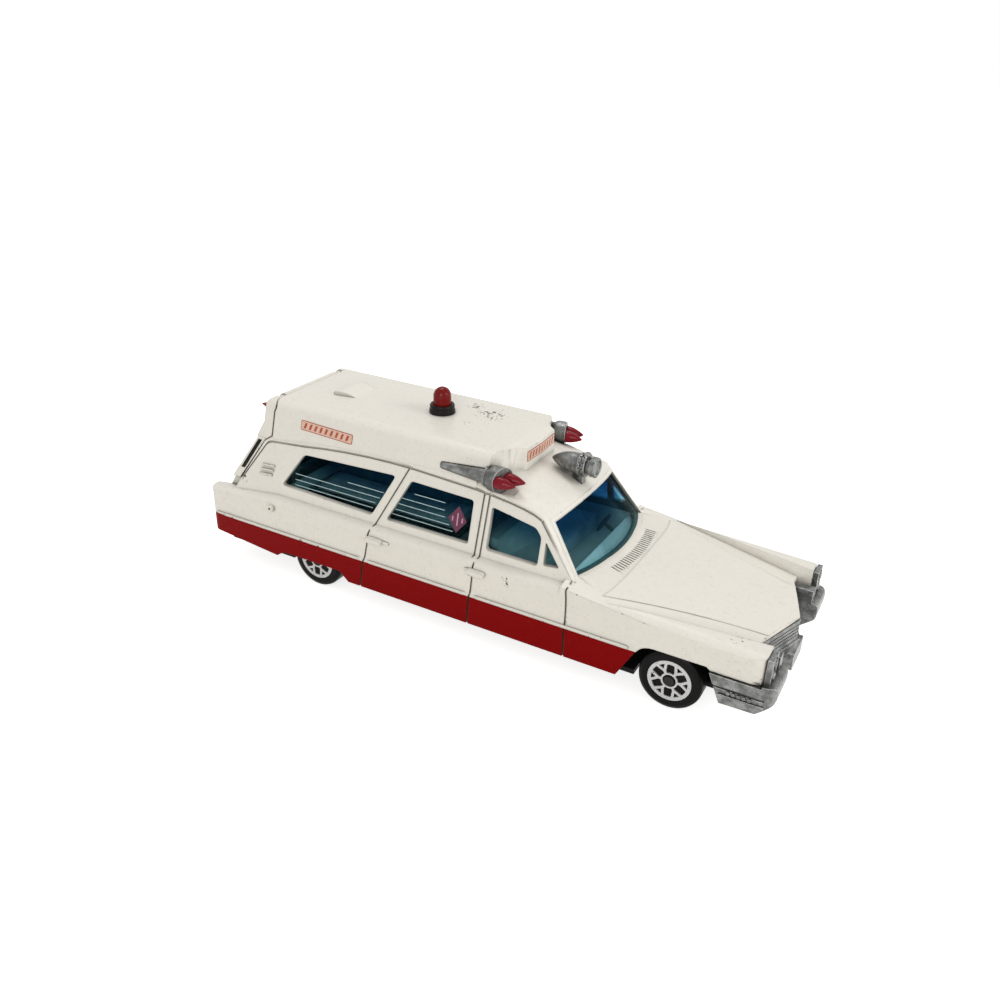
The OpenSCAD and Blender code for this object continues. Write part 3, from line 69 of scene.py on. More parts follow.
# Mattress and pillow, and the shares by which a pad is crowned, sewn and pulled in
MATTRESS_T = 2.0
PILLOW_L = 9.0
PILLOW_INSET = 0.9
PILLOW_SINK = 0.6
PAD_CUTS = 15
PAD_CHANNELS = 5
PAD_EDGE = 0.45
PAD_CROWN = 0.55
PAD_DIP = 0.12
PAD_PULL = 0.05
PAD_END_PULL = 0.012

# Steps round a corner of an outline, a distance outside the car, and the two sides of the car
CORNER_STEPS = 5
FAR = 100.0
SIDES = ((-1, "right"), (1, "left"))

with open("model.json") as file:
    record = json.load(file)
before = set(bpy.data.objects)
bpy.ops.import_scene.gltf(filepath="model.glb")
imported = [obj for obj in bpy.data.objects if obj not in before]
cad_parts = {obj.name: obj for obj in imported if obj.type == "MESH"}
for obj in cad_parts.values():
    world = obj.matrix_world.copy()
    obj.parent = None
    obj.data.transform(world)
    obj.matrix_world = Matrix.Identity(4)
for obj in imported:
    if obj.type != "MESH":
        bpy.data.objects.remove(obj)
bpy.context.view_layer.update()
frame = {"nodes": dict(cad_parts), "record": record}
NODE_SLOT = {row["node"]: row["material_slot"] for row in frame["record"]["subparts"]}
NODE_BODY = {
    node: body for body, nodes in frame["record"]["behaviour"]["bodies"].items() for node in nodes
}


def to_m(*point):
    """A point of the car's frame in metres."""
    return Vector(point) * MM


def link(piece):
    """Put a new object into the scene."""
    bpy.context.scene.collection.objects.link(piece)
    return piece


class Look:
    """One material, with short calls for its nodes.

    Texture coordinates are millimetres of the car's frame.
    """

    def __init__(self, name):
        self.material = bpy.data.materials.new(name)
        self.material.use_nodes = True
        self.tree = self.material.node_tree
        self.tree.nodes.clear()
        self.output = self.add("ShaderNodeOutputMaterial")
        scaled = self.add("ShaderNodeVectorMath", operation="SCALE")
        scaled.inputs["Scale"].default_value = 1 / MM
        self.join(self.add("ShaderNodeTexCoord").outputs["Object"], scaled.inputs[0])
        self.place = scaled.outputs[0]

    def add(self, kind, **settings):
        node = self.tree.nodes.new(kind)
        for key, value in settings.items():
            setattr(node, key, value)
        return node

    def join(self, start, end):
        self.tree.links.new(start, end)

    def feed(self, socket, value):
        """Set a socket to a number or colour, or link another node's output to it."""
        if isinstance(value, bpy.types.NodeSocket):
            self.join(value, socket)
        elif isinstance(value, tuple) and len(value) == 3 and socket.type == "RGBA":
            socket.default_value = (*value, 1.0)
        else:
            socket.default_value = value

    def math(self, operation, a, b=0.0):
        node = self.add("ShaderNodeMath", operation=operation)
        self.feed(node.inputs[0], a)
        self.feed(node.inputs[1], b)
        return node.outputs[0]

    def ramp(self, value, low, high):
        """0 at low, 1 at high and smooth between them; it falls where low is above high."""
        node = self.add("ShaderNodeMapRange", interpolation_type="SMOOTHSTEP")
        self.feed(node.inputs["Value"], value)
        node.inputs["From Min"].default_value = low
        node.inputs["From Max"].default_value = high
        return node.outputs["Result"]

    def between(self, factor, low, high):
        """A number that goes from low to high with a factor from 0 to 1."""
        node = self.add("ShaderNodeMapRange")
        self.feed(node.inputs["Value"], factor)
        node.inputs["To Min"].default_value = low
        node.inputs["To Max"].default_value = high
        return node.outputs["Result"]

    def noise(self, size, detail=3.0, roughness=0.55, place=None):
        """Noise from 0 to 1 whose features are about size millimetres wide."""
        node = self.add("ShaderNodeTexNoise")
        node.inputs["Scale"].default_value = 1 / size
        node.inputs["Detail"].default_value = detail
        node.inputs["Roughness"].default_value = roughness
        self.join(place or self.place, node.inputs["Vector"])
        return node.outputs["Fac"]

    def axes(self):
        node = self.add("ShaderNodeSeparateXYZ")
        self.join(self.place, node.inputs[0])
        return node.outputs

    def rounded(self, radius):
        """Normals that turn round the edges, as thick paint or a worn mould leaves them."""
        node = self.add("ShaderNodeBevel", samples=6)
        node.inputs["Radius"].default_value = radius * MM
        return node.outputs["Normal"]

    def edges(self, normal):
        """1 along the edges that rounded() turns, 0 on the faces."""
        flat = self.add("ShaderNodeNewGeometry").outputs["Normal"]
        node = self.add("ShaderNodeVectorMath", operation="DOT_PRODUCT")
        self.join(normal, node.inputs[0])
        self.join(flat, node.inputs[1])
        return self.math("SUBTRACT", 1.0, node.outputs["Value"])

    def hollow(self, reach):
        """How far a place is shut in by its surroundings within reach, from 0 to 1."""
        node = self.add("ShaderNodeAmbientOcclusion", samples=8)
        node.inputs["Distance"].default_value = reach * MM
        return self.math("SUBTRACT", 1.0, node.outputs["AO"])

    def mix(self, factor, a, b):
        """Colour that goes from a to b with a factor."""
        node = self.add("ShaderNodeMix", data_type="RGBA")
        self.feed(node.inputs["Factor"], factor)
        self.feed(node.inputs[6], a)
        self.feed(node.inputs[7], b)
        return node.outputs[2]

    def bump(self, height, strength, distance, normal=None):
        node = self.add("ShaderNodeBump")
        if normal:
            self.join(normal, node.inputs["Normal"])
        node.inputs["Strength"].default_value = strength
        node.inputs["Distance"].default_value = distance * MM
        self.join(height, node.inputs["Height"])
        return node.outputs["Normal"]

    def principled(self, **inputs):
        """Principled surface; a keyword such as base_color sets the socket Base Color."""
        node = self.add("ShaderNodeBsdfPrincipled")
        titles = {socket.name.lower().replace(" ", "_"): socket for socket in node.inputs}
        for key, value in inputs.items():
            self.feed(titles[key], value)
        return node.outputs[0]

    def done(self, surface):
        self.join(surface, self.output.inputs["Surface"])
        return self.material


# Radii by which the materials round edges, and the angle in degrees above which an edge is shaded sharp
PAINT_ROUND = 0.55
ZINC_ROUND = 0.22
CREASE = 13.0

# Linear colours of the paint
WHITE = (0.795, 0.765, 0.69)
WHITE_COOL = (0.765, 0.735, 0.665)
RED = (0.215, 0.0012, 0.0016)
# Grey-brown of grime and dust specks, and of the painted shade in grooves and recesses
GRIME_AND_SHADE = (0.10, 0.085, 0.065)
DUST = (0.56, 0.53, 0.47)
CHIP = (0.045, 0.04, 0.036)

# Linear colours of the bare metal and the stamped foil
ZINC_PALE = (0.245, 0.25, 0.242)
ZINC_DULL = (0.10, 0.103, 0.098)
ZINC_GRAIN = (0.11, 0.113, 0.108)
# Pale zinc of the rubbed edges, also a painted highlight
ZINC_RUBBED_AND_LIT = (0.56, 0.56, 0.545)
# Near black of the painted shade in the casting's grooves
ZINC_SHADE = (0.012, 0.012, 0.011)
FOIL = (0.50, 0.50, 0.495)
FOIL_WORN = (0.08, 0.08, 0.08)

# Linear tints of the window moulding, some of them plain and in a streak, and its gloss; the low tints carry
# painted light and the high ones painted shade of the inside behind the glass
SCREEN_FOOT_LIT = ((0.69, 0.95, 1.0), (0.72, 0.96, 1.0))
SCREEN_CROWN_SHADED = (0.15, 0.37, 0.58)
FLANK_LOW_LIT = ((0.31, 0.46, 0.49), (0.34, 0.54, 0.54))
FLANK_HIGH_SHADED = ((0.05, 0.19, 0.31), (0.09, 0.28, 0.33))
INWARD_TINT = (0.95, 0.985, 0.99)
GLASS_BODY = (0.004, 0.035, 0.05)
GLASS_IOR = 1.3
GLASS_MIRROR = 0.4

# Linear colours of the interior: the tray in painted shade and the dash in painted light, both one moulding,
# and its dust
TRAY_SHADED = (0.42, 0.45, 0.45)
DASH_LIT = (0.86, 0.88, 0.88)
TRAY_DUST = (0.30, 0.30, 0.28)

# Paint chips: noise levels between which they start, the core of a place's reach and what it adds there
CHIP_LOW = 0.665
CHIP_HIGH = 0.685
CHIP_CORE = 0.2
CHIP_GAIN = 0.12

# Chipped places of the paint: centre and reach
CHIPPED_PLACES = (
    ((-6.5, 5.0, 46.0), 7.0),
    ((-9.0, -3.0, 46.0), 2.2),
    ((-12.5, 8.0, 46.0), 4.0),
    ((66.0, -19.5, 21.0), 2.6),
    ((72.0, -21.5, 13.6), 3.0),
    ((14.0, -22.8, 19.5), 2.4),
    ((30.0, -20.8, 22.0), 2.0),
    ((-66.0, -19.5, 24.0), 3.0),
)


def paint_look(name, banded):
    """Enamel over a casting: grime and painted shade in the grooves, painted shade in recesses, chips along
    the edges, red below the lip.
    """
    look = Look(name)
    normal = look.rounded(PAINT_ROUND)
    shut_in = look.hollow(1.1)
    patches = look.noise(14.0)
    specks = look.noise(0.55, 4.0)
    fine = look.noise(0.3, 2.0)

    colour = look.mix(patches, WHITE, WHITE_COOL)
    mottle = look.math("MULTIPLY", look.ramp(look.noise(1.4, 6.0, 0.7), 0.48, 0.80), 0.30)
    colour = look.mix(mottle, colour, DUST)
    coat, gloss = 0.07, 0.14
    if banded:
        x, y, z = look.axes()
        edge = look.math("ADD", z, look.math("MULTIPLY", look.noise(2.0), 0.16))
        below = look.math("SUBTRACT", 1.0, look.ramp(edge, BAND_TOP_Z + 0.02, BAND_TOP_Z + 0.14))
        outside = look.math(
            "MAXIMUM",
            look.math("GREATER_THAN", look.math("ABSOLUTE", y), BAND_MIN_Y),
            look.math("LESS_THAN", x, BAND_TAIL_X),
        )
        band = look.math("MULTIPLY", below, outside)
        colour = look.mix(band, colour, RED)
        coat = look.between(band, coat, 0.0)
        gloss = look.between(band, gloss, 0.03)

    # Grime in the grooves and seams, which also paints the shade there and under raised pieces
    groove_grime_and_shade = look.math("MULTIPLY", look.ramp(shut_in, 0.30, 0.72), look.between(patches, 0.60, 0.95))
    dusty = look.math("MULTIPLY", look.ramp(specks, 0.60, 0.76), look.between(look.noise(9.0), 0.0, 0.5))
    colour = look.mix(dusty, colour, GRIME_AND_SHADE)
    # Painted shade: the enamel darkens where the surroundings shut a place in within 3.5 mm
    shade = look.math("MULTIPLY", look.ramp(look.hollow(3.5), 0.12, 0.6), 0.45)
    colour = look.mix(shade, colour, GRIME_AND_SHADE)
    colour = look.mix(groove_grime_and_shade, colour, GRIME_AND_SHADE)

    ridge = look.math("MULTIPLY", look.ramp(look.edges(normal), 0.02, 0.08), look.ramp(shut_in, 0.25, 0.1))
    worn = look.math("MULTIPLY", ridge, look.ramp(look.noise(1.7, 4.0), 0.63, 0.69))
    for centre, reach in CHIPPED_PLACES:
        far = look.add("ShaderNodeVectorMath", operation="DISTANCE")
        look.join(look.place, far.inputs[0])
        far.inputs[1].default_value = centre
        near = look.math("SUBTRACT", 1.0, look.ramp(far.outputs["Value"], CHIP_CORE * reach, reach))
        level = look.math("ADD", look.noise(0.9, 5.0, 0.62), look.math("MULTIPLY", near, CHIP_GAIN))
        chips = look.math("MULTIPLY", near, look.ramp(level, CHIP_LOW, CHIP_HIGH))
        worn = look.math("MAXIMUM", worn, chips)
    colour = look.mix(worn, colour, CHIP)

    height = look.math("SUBTRACT", look.math("MULTIPLY", fine, 0.06), worn)
    surface = look.principled(
        base_color=colour,
        roughness=look.between(look.math("MAXIMUM", groove_grime_and_shade, worn), 0.33, 0.62),
        specular_ior_level=gloss,
        coat_weight=coat,
        coat_roughness=0.12,
        normal=look.bump(height, 0.35, 0.06, normal),
    )
    return look.done(surface)


def zinc_look(name):
    """Bare casting: dull grey metal with painted shade in its grooves, and edges rubbed bright that also
    carry a painted highlight.
    """
    look = Look(name)
    normal = look.rounded(ZINC_ROUND)
    shut_in = look.hollow(2.0)
    grain = look.noise(0.45, 5.0, 0.65)
    colour = look.mix(look.ramp(look.noise(2.2), 0.35, 0.65), ZINC_PALE, ZINC_DULL)
    colour = look.mix(look.ramp(grain, 0.50, 0.72), colour, ZINC_GRAIN)
    # Edges rubbed bright by handling, which also paints a highlight along them
    rubbed = look.math("MULTIPLY", look.ramp(look.edges(normal), 0.01, 0.08), look.ramp(shut_in, 0.4, 0.15))
    colour = look.mix(look.math("MULTIPLY", rubbed, 0.8), colour, ZINC_RUBBED_AND_LIT)
    # Painted shade: near black and less metallic where the surroundings shut a place in
    groove_shade = look.math("MULTIPLY", look.ramp(shut_in, 0.22, 0.66), 0.95)
    colour = look.mix(groove_shade, colour, ZINC_SHADE)
    surface = look.principled(
        base_color=colour,
        metallic=look.between(groove_shade, 0.75, 0.1),
        roughness=look.between(grain, 0.20, 0.42),
        normal=look.bump(look.math("ADD", grain, look.noise(1.3, 3.0)), 0.8, 0.12, normal),
    )
    return look.done(surface)


def tint_look(name):
    """Blue-green clear moulding: tinted see-through with a gloss, with painted light low down and painted
    shade higher up. Light that comes in is tinted less.
    """
    look = Look(name)
    streaks = look.add("ShaderNodeMapping")
    streaks.inputs["Scale"].default_value = (1.0, 1.0, 0.12)
    look.join(look.place, streaks.inputs["Vector"])
    flow = look.ramp(look.noise(2.6, 2.0, 0.5, streaks.outputs[0]), 0.40, 0.75)
    _, y, z = look.axes()
    # Painted light and shade: the tints are lighter low down and darker higher up, for the bright dash and
    # the dark inside behind the glass
    height = look.ramp(z, GLASS_LOW_Z, GLASS_HIGH_Z)
    crown = look.ramp(z, CROWN_LOW_Z, CROWN_HIGH_Z)
    lit_foot = look.mix(flow, *SCREEN_FOOT_LIT)
    screen_lit_to_shaded = look.mix(crown, lit_foot, SCREEN_CROWN_SHADED)
    low = look.mix(flow, *FLANK_LOW_LIT)
    high = look.mix(flow, *FLANK_HIGH_SHADED)
    out = look.math("ADD", look.math("ABSOLUTE", y), look.math("MULTIPLY", z, TUMBLE))
    outer_face = BELT_HALF_W + TUMBLE * BELT_Z
    flank = look.ramp(out, outer_face - FLANK_DEEP, outer_face - FLANK_SHALLOW)
    tint = look.mix(flank, screen_lit_to_shaded, look.mix(height, low, high))
    rays = look.add("ShaderNodeLightPath").outputs
    inward = look.math("MAXIMUM", rays["Is Shadow Ray"], rays["Is Diffuse Ray"])
    clear = look.add("ShaderNodeBsdfTransparent")
    look.join(look.mix(inward, tint, INWARD_TINT), clear.inputs["Color"])
    gloss = look.principled(
        base_color=GLASS_BODY,
        roughness=look.between(look.noise(6.0), 0.04, 0.10),
    )
    fresnel = look.add("ShaderNodeFresnel")
    fresnel.inputs["IOR"].default_value = GLASS_IOR
    both = look.add("ShaderNodeMixShader")
    look.join(look.between(fresnel.outputs[0], 0.0, GLASS_MIRROR), both.inputs["Fac"])
    look.join(clear.outputs[0], both.inputs[1])
    look.join(gloss, both.inputs[2])
    return look.done(both.outputs[0])


def lens_look(name, deep, pale_tone):
    """Glossy coloured plastic, a little uneven in depth."""
    look = Look(name)
    colour = look.mix(look.noise(1.2), deep, pale_tone)
    surface = look.principled(
        base_color=colour,
        roughness=look.between(look.noise(0.8), 0.10, 0.20),
        specular_ior_level=0.15,
        coat_weight=0.02,
        coat_roughness=0.05,
    )
    return look.done(surface)


def plastic_look(name, dark, light, shine, wear=0.5):
    """Moulded plastic or satin paint with slight unevenness, scuffs and a fine grain."""
    look = Look(name)
    scuffs = look.ramp(look.noise(0.7, 5.0, 0.65), 0.58, 0.80)
    colour = look.mix(look.noise(4.0), dark, light)
    scuffed = tuple(min(1.0, 2.2 * level + 0.02) for level in light)
    colour = look.mix(look.math("MULTIPLY", scuffs, wear), colour, scuffed)
    surface = look.principled(
        base_color=colour,
        roughness=look.between(scuffs, shine, min(1.0, shine + 0.25)),
        specular_ior_level=0.08,
        normal=look.bump(look.noise(0.4, 3.0), 0.2, 0.03, look.rounded(ZINC_ROUND)),
    )
    return look.done(surface)


def interior_look(name):
    """Pale moulding with painted light on the dash and painted shade on the floor and the seats behind it,
    greyer with dust in patches.
    """
    look = Look(name)
    x, _, _ = look.axes()
    # Painted light and shade: the dash lighter than the floor and seats behind it
    dash = look.ramp(x, DASH_X - 1.0, DASH_X + 0.5)
    colour = look.mix(dash, TRAY_SHADED, DASH_LIT)
    dust = look.math("MULTIPLY", look.ramp(look.noise(1.5, 5.0, 0.6), 0.5, 0.75), 0.25)
    surface = look.principled(
        base_color=look.mix(dust, colour, TRAY_DUST),
        roughness=look.between(look.noise(2.0), 0.35, 0.5),
        normal=look.bump(look.noise(0.5, 3.0), 0.15, 0.03, look.rounded(PAINT_ROUND)),
    )
    return look.done(surface)


def stamp_look(name):
    """Hot-stamped silver foil, rubbed through in places."""
    look = Look(name)
    rubbed = look.ramp(look.noise(0.6, 5.0, 0.65), 0.60, 0.72)
    colour = look.mix(rubbed, FOIL, FOIL_WORN)
    surface = look.principled(
        base_color=colour,
        metallic=look.between(rubbed, 0.4, 0.1),
        roughness=look.between(look.noise(0.5), 0.36, 0.55),
        normal=look.bump(look.noise(0.3, 3.0), 0.3, 0.03),
    )
    return look.done(surface)


def print_look(name, colour, faded):
    """Printed ink, a little uneven."""
    look = Look(name)
    surface = look.principled(
        base_color=look.mix(look.ramp(look.noise(0.8, 4.0), 0.45, 0.75), colour, faded),
        roughness=look.between(look.noise(0.5), 0.35, 0.5),
    )
    return look.done(surface)


LOOKS = {
    "white_paint": paint_look("white_enamel", False),
    "tinted_glazing": tint_look("tinted_moulding"),
    "bare_zinc": zinc_look("cast_zinc"),
    "black_base": plastic_look("black_baseplate", (0.006, 0.006, 0.006), (0.012, 0.011, 0.011), 0.40, 0.25),
    "interior_plastic": interior_look("interior_moulding"),
    "mattress_plastic": plastic_look("mattress_moulding", (0.60, 0.62, 0.63), (0.70, 0.71, 0.72), 0.5, 0.1),
    "black_plastic": plastic_look("black_moulding", (0.010, 0.009, 0.008), (0.020, 0.018, 0.016), 0.3),
    "red_plastic": lens_look("beacon_red", (0.13, 0.002, 0.001), (0.18, 0.003, 0.002)),
    "crimson_lens": lens_look("lens_crimson", (0.15, 0.003, 0.008), (0.22, 0.005, 0.014)),
    "wheel_plastic": plastic_look("wheel_black", (0.003, 0.003, 0.003), (0.006, 0.006, 0.006), 0.36, 0.12),
    "silver_trim": stamp_look("stamped_silver"),
    "steel": plastic_look("peened_steel", (0.018, 0.018, 0.018), (0.035, 0.035, 0.034), 0.32),
}
BANDED_PAINT = paint_look("banded_enamel", True)


def applied(piece):
    """The mesh that a piece's modifiers make, in place of its own."""
    graph = bpy.context.evaluated_depsgraph_get()
    made = bpy.data.meshes.new_from_object(piece.evaluated_get(graph))
    old = piece.data
    piece.modifiers.clear()
    piece.data = made
    bpy.data.meshes.remove(old)


def dress(piece, node, look=None):
    """A piece that stands for a CAD node: the look of the node's material slot and its body; the node is
    hidden.
    """
    piece.data.materials.clear()
    piece.data.materials.append(look or LOOKS[NODE_SLOT[node]])
    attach(piece, NODE_BODY[node])
    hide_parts(node)
    return piece


def softened(node, voxel, passes, most_faces):
    """A small moulded node with its edges rounded, as a worn mould leaves them."""
    mesh = frame["nodes"][node].data.copy()
    mesh.transform(Matrix.Scale(1 / MM, 4))
    piece = link(bpy.data.objects.new(f"{node}_cast", mesh))
    grid = piece.modifiers.new("grid", "REMESH")
    grid.mode = "VOXEL"
    grid.voxel_size = voxel
    round_off = piece.modifiers.new("round_off", "SMOOTH")
    round_off.factor = 0.5
    round_off.iterations = passes
    applied(piece)
    faces = 2 * len(piece.data.polygons)
    if faces > most_faces:
        thin = piece.modifiers.new("thin", "DECIMATE")
        thin.ratio = most_faces / faces
        applied(piece)
    mesh = piece.data
    mesh.transform(Matrix.Scale(MM, 4))
    mesh.shade_smooth()
    dress(piece, node)


def cleaned(node, look=None):
    """A node's own shape with its round faces shaded smooth and its big faces flat."""
    mesh = frame["nodes"][node].data.copy()
    shape = bmesh.new()
    shape.from_mesh(mesh)
    bmesh.ops.remove_doubles(shape, verts=shape.verts, dist=1e-3 * MM)
    shape.to_mesh(mesh)
    shape.free()
    mesh.shade_smooth()
    mesh.set_sharp_from_angle(angle=math.radians(CREASE))
    piece = link(bpy.data.objects.new(f"{node}_skin", mesh))
    flatten = piece.modifiers.new("flatten", "WEIGHTED_NORMAL")
    flatten.keep_sharp = True
    applied(piece)
    dress(piece, node, look)


# Small round mouldings: voxel size, smoothing passes and most faces
SOFTENED = {
    "pod_lenses_right": (0.06, 4, 12000),
    "pod_lenses_left": (0.06, 4, 12000),
    "beacon_dome": (0.08, 4, 8000),
    "beacon_ring": (0.07, 4, 16000),
    "rear_lamp_lenses": (0.06, 4, 8000),
}
CUSHION = "stretcher_mattress"

for node, (voxel, passes, most_faces) in SOFTENED.items():
    softened(node, voxel, passes, most_faces)
for node in NODE_SLOT:
    if node not in SOFTENED and node != CUSHION:
        cleaned(node, BANDED_PAINT if node == "body_shell" else None)


def add_pad(shape, low, high, channels):
    """Crowned pad in a box: its sides pull in between the corners and sewn channels cross its top."""
    middle = (low + high) / 2
    half = (high - low) / 2
    made = bmesh.ops.create_cube(shape, size=2.0)["verts"]
    edges = list({edge for vert in made for edge in vert.link_edges})
    bmesh.ops.subdivide_edges(shape, edges=edges, cuts=PAD_CUTS, use_grid_fill=True)
    for vert in shape.verts:
        if vert.tag:
            continue
        vert.tag = True
        a, b, c = vert.co
        crown = (1 - a**8) * (1 - b**4)
        dip = PAD_DIP * math.cos(math.pi * channels * a) ** 8 if channels else 0.0
        top = PAD_EDGE + PAD_CROWN * crown - dip
        pull = 1 - PAD_PULL * (1 - c * c)
        x = a * pull * (1 - PAD_END_PULL * (1 - b * b))
        y = b * pull * (1 - PAD_PULL * (1 - a * a))
        vert.co = middle + Vector((half.x * x, half.y * y, half.z * (c * top if c > 0 else c)))


def make_mattress():
    """Mattress with sewn channels and a pillow at its head."""
    low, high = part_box(CUSHION)
    bed_top = low.z + MATTRESS_T * MM
    shape = bmesh.new()
    add_pad(shape, low, Vector((high.x, high.y, bed_top)), PAD_CHANNELS)
    inset = Vector((PILLOW_INSET, PILLOW_INSET, 0)) * MM
    head = Vector((high.x - PILLOW_L * MM, low.y, bed_top - PILLOW_SINK * MM)) + inset
    add_pad(shape, head, high - inset, 0)
    mesh = bpy.data.meshes.new("mattress_pad")
    shape.to_mesh(mesh)
    shape.free()
    mesh.shade_smooth()
    piece = dress(link(bpy.data.objects.new("mattress_pad", mesh)), CUSHION)


make_mattress()


def flat_piece(name, outlines, spot, thickness, look, body):
    """Thin piece: outlines of (u, v) points in millimetres, put on a surface by spot(u, v, height)."""
    shape = bmesh.new()
    for outline in outlines:
        low = [shape.verts.new(spot(u, v, 0.0)) for u, v in outline]
        high = [shape.verts.new(spot(u, v, thickness)) for u, v in outline]
        shape.faces.new(high)
        shape.faces.new(low[::-1])
        for i in range(len(outline)):
            j = (i + 1) % len(outline)
            shape.faces.new((low[i], low[j], high[j], high[i]))
    bmesh.ops.recalc_face_normals(shape, faces=shape.faces)
    mesh = bpy.data.meshes.new(name)
    shape.to_mesh(mesh)
    shape.free()
    piece = link(bpy.data.objects.new(name, mesh))
    mesh.materials.append(look)
    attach(piece, body)


def rounded_box(u0, v0, u1, v1, r, r_right=None):
    """Rectangle with round corners; the right ones may have their own radius."""
    r_right = r if r_right is None else r_right
    corners = (
        (u1, v1, -r_right, -r_right, r_right, 0),
        (u0, v1, r, -r, r, 90),
        (u0, v0, r, r, r, 180),
        (u1, v0, -r_right, r_right, r_right, 270),
    )
    points = []
    for u, v, du, dv, radius, start in corners:
        steps = CORNER_STEPS if radius else 0
        for i in range(steps + 1):
            turn = math.radians(start + 90 * i / CORNER_STEPS)
            points.append((u + du + radius * math.cos(turn), v + dv + radius * math.sin(turn)))
    return points


def strip(u0, v0, u1, v1, r, slices):
    """Rectangle with round ends, cut into slices so that it can follow a curved face."""
    cuts = [u0 + (u1 - u0) * i / slices for i in range(slices + 1)]
    last = slices - 1
    return [
        rounded_box(cuts[i], v0, cuts[i + 1], v1, r if i == 0 else 0.0, r if i == last else 0.0)
        for i in range(slices)
    ]


def on_side(side, lift):
    """Places (x, z) of the side windows' outer face. side is -1 on the right of the car."""
    lean = math.atan(TUMBLE)

    def spot(x, z, height):
        y = BELT_HALF_W - GLASS_INSET - TUMBLE * (z - BELT_Z)
        out = height + lift
        return to_m(x, side * (y + out * math.cos(lean)), z + out * math.sin(lean))

    return spot


def surface_of(node):
    """A node's faces, to find places on them."""
    mesh = frame["nodes"][node].data
    return BVHTree.FromPolygons([v.co for v in mesh.vertices], [p.vertices for p in mesh.polygons])


def on_flank(tree, side, lift):
    """Places (x, z) on a surface, found from the side of the car."""

    def spot(x, z, height):
        hit, normal, _, _ = tree.ray_cast(to_m(x, side * FAR, z), Vector((0, -side, 0)))
        return hit + normal * (height + lift) * MM

    return spot


def off_flank(tree, side, lift):
    """Like on_flank, but level: each outline lies in the upright plane through its own middle."""

    def plane(outline):
        u = sum(point[0] for point in outline) / len(outline)
        v = sum(point[1] for point in outline) / len(outline)
        hit, _, _, _ = tree.ray_cast(to_m(u, side * FAR, v), Vector((0, -side, 0)))
        return hit.y / MM

    def spot_for(outline):
        face = plane(outline)
        return lambda x, z, height: to_m(x, face + side * (height + lift), z)

    return spot_for


def on_front(tree, lift):
    """Places (y, z) on a surface, found from the front of the car."""

    def spot(y, z, height):
        hit, normal, _, _ = tree.ray_cast(to_m(FAR, y, z), Vector((-1, 0, 0)))
        return hit + normal * (height + lift) * MM

    return spot


# Prints: thickness, lift over the face below, width of a line, and inks
PRINT_T = 0.05
PRINT_LIFT = 0.01
LINE_W = 0.17
INK_WHITE = print_look("line_print", (0.42, 0.56, 0.58), (0.28, 0.42, 0.45))
INK_MAGENTA = print_look("motif_print", (0.10, 0.006, 0.04), (0.05, 0.004, 0.025))
INK_PINK = print_look("motif_lines", (0.55, 0.30, 0.38), (0.38, 0.18, 0.25))
LABEL_GROUND = print_look("label_ground", (0.70, 0.48, 0.37), (0.62, 0.40, 0.30))
LABEL_INK = print_look("label_ink", (0.36, 0.05, 0.018), (0.42, 0.10, 0.05))

# Printed lines of the rear windows: height, rear end and front end
WINDOW_LINES = (
    (29.6, -33.9, -23.1),
    (28.05, -50.2, -24.1),
    (26.6, -50.1, -25.2),
    (25.25, -50.0, -25.7),
    (31.4, -14.4, -5.8),
    (29.65, -18.0, -5.7),
    (28.1, -18.7, -5.4),
    (26.6, -19.4, -4.1),
    (25.3, -20.1, -2.9),
)
# Lozenge at the front of the rear door's window: centre, half width, half height, and its bars
MOTIF = (-2.0, 28.4, 2.5, 3.2)
MOTIF_BARS = (-1.3, 0.0, 1.3)
MOTIF_BAR_HALF_W = 0.16
MOTIF_BAR_HALF_H = 1.5
MOTIF_BAR_FALL = 0.7
MOTIF_BAR_R = 0.15

for side, word in SIDES:
    lines = [
        [(x0, z - LINE_W / 2), (x1, z - LINE_W / 2), (x1, z + LINE_W / 2), (x0, z + LINE_W / 2)]
        for z, x0, x1 in WINDOW_LINES
    ]
    glass = on_side(side, PRINT_LIFT)
    flat_piece(f"window_lines_{word}", lines, glass, PRINT_T, INK_WHITE, "car")
    x, z, w, h = MOTIF
    lozenge = [(x - w, z), (x, z - h), (x + w, z), (x, z + h)]
    flat_piece(f"window_motif_{word}", [lozenge], glass, PRINT_T, INK_MAGENTA, "car")
    bars = []
    for dx in MOTIF_BARS:
        half_h = MOTIF_BAR_HALF_H - abs(dx) * MOTIF_BAR_FALL
        left, right = x + dx - MOTIF_BAR_HALF_W, x + dx + MOTIF_BAR_HALF_W
        bars.append(rounded_box(left, z - half_h, right, z + half_h, MOTIF_BAR_R))
    over = on_side(side, PRINT_LIFT + PRINT_T)
    flat_piece(f"window_motif_bars_{word}", bars, over, PRINT_T / 2, INK_PINK, "car")


# Label: bars and slices along it, margin and radii of its frame, and how its bars start, end, lean and fill
LABEL_BARS = 9
LABEL_SLICES = 10
LABEL_MARGIN = 0.18
LABEL_R = 0.35
LABEL_INNER_R = 0.25
LABEL_BAR_START = 0.9
LABEL_BAR_ENDS = 1.4
LABEL_BAR_EDGE = 0.5
LABEL_BAR_LEAN = 0.45
LABEL_BAR_SHARE = 0.42
# Lower and upper corner of a label on its face, and how far its lines rise a millimetre
SIDE_LABEL = (-48.7, 40.05, -32.8, 42.4, -0.03)
FRONT_LABEL = (-6.9, 41.75, 6.9, 44.3, 0.0)
# Lift over the paint and thickness of a label's layers
FRAME_LAYER = (0.02, 0.04)
GROUND_LAYER = (0.03, 0.05)
BARS_LAYER = (0.05, 0.05)


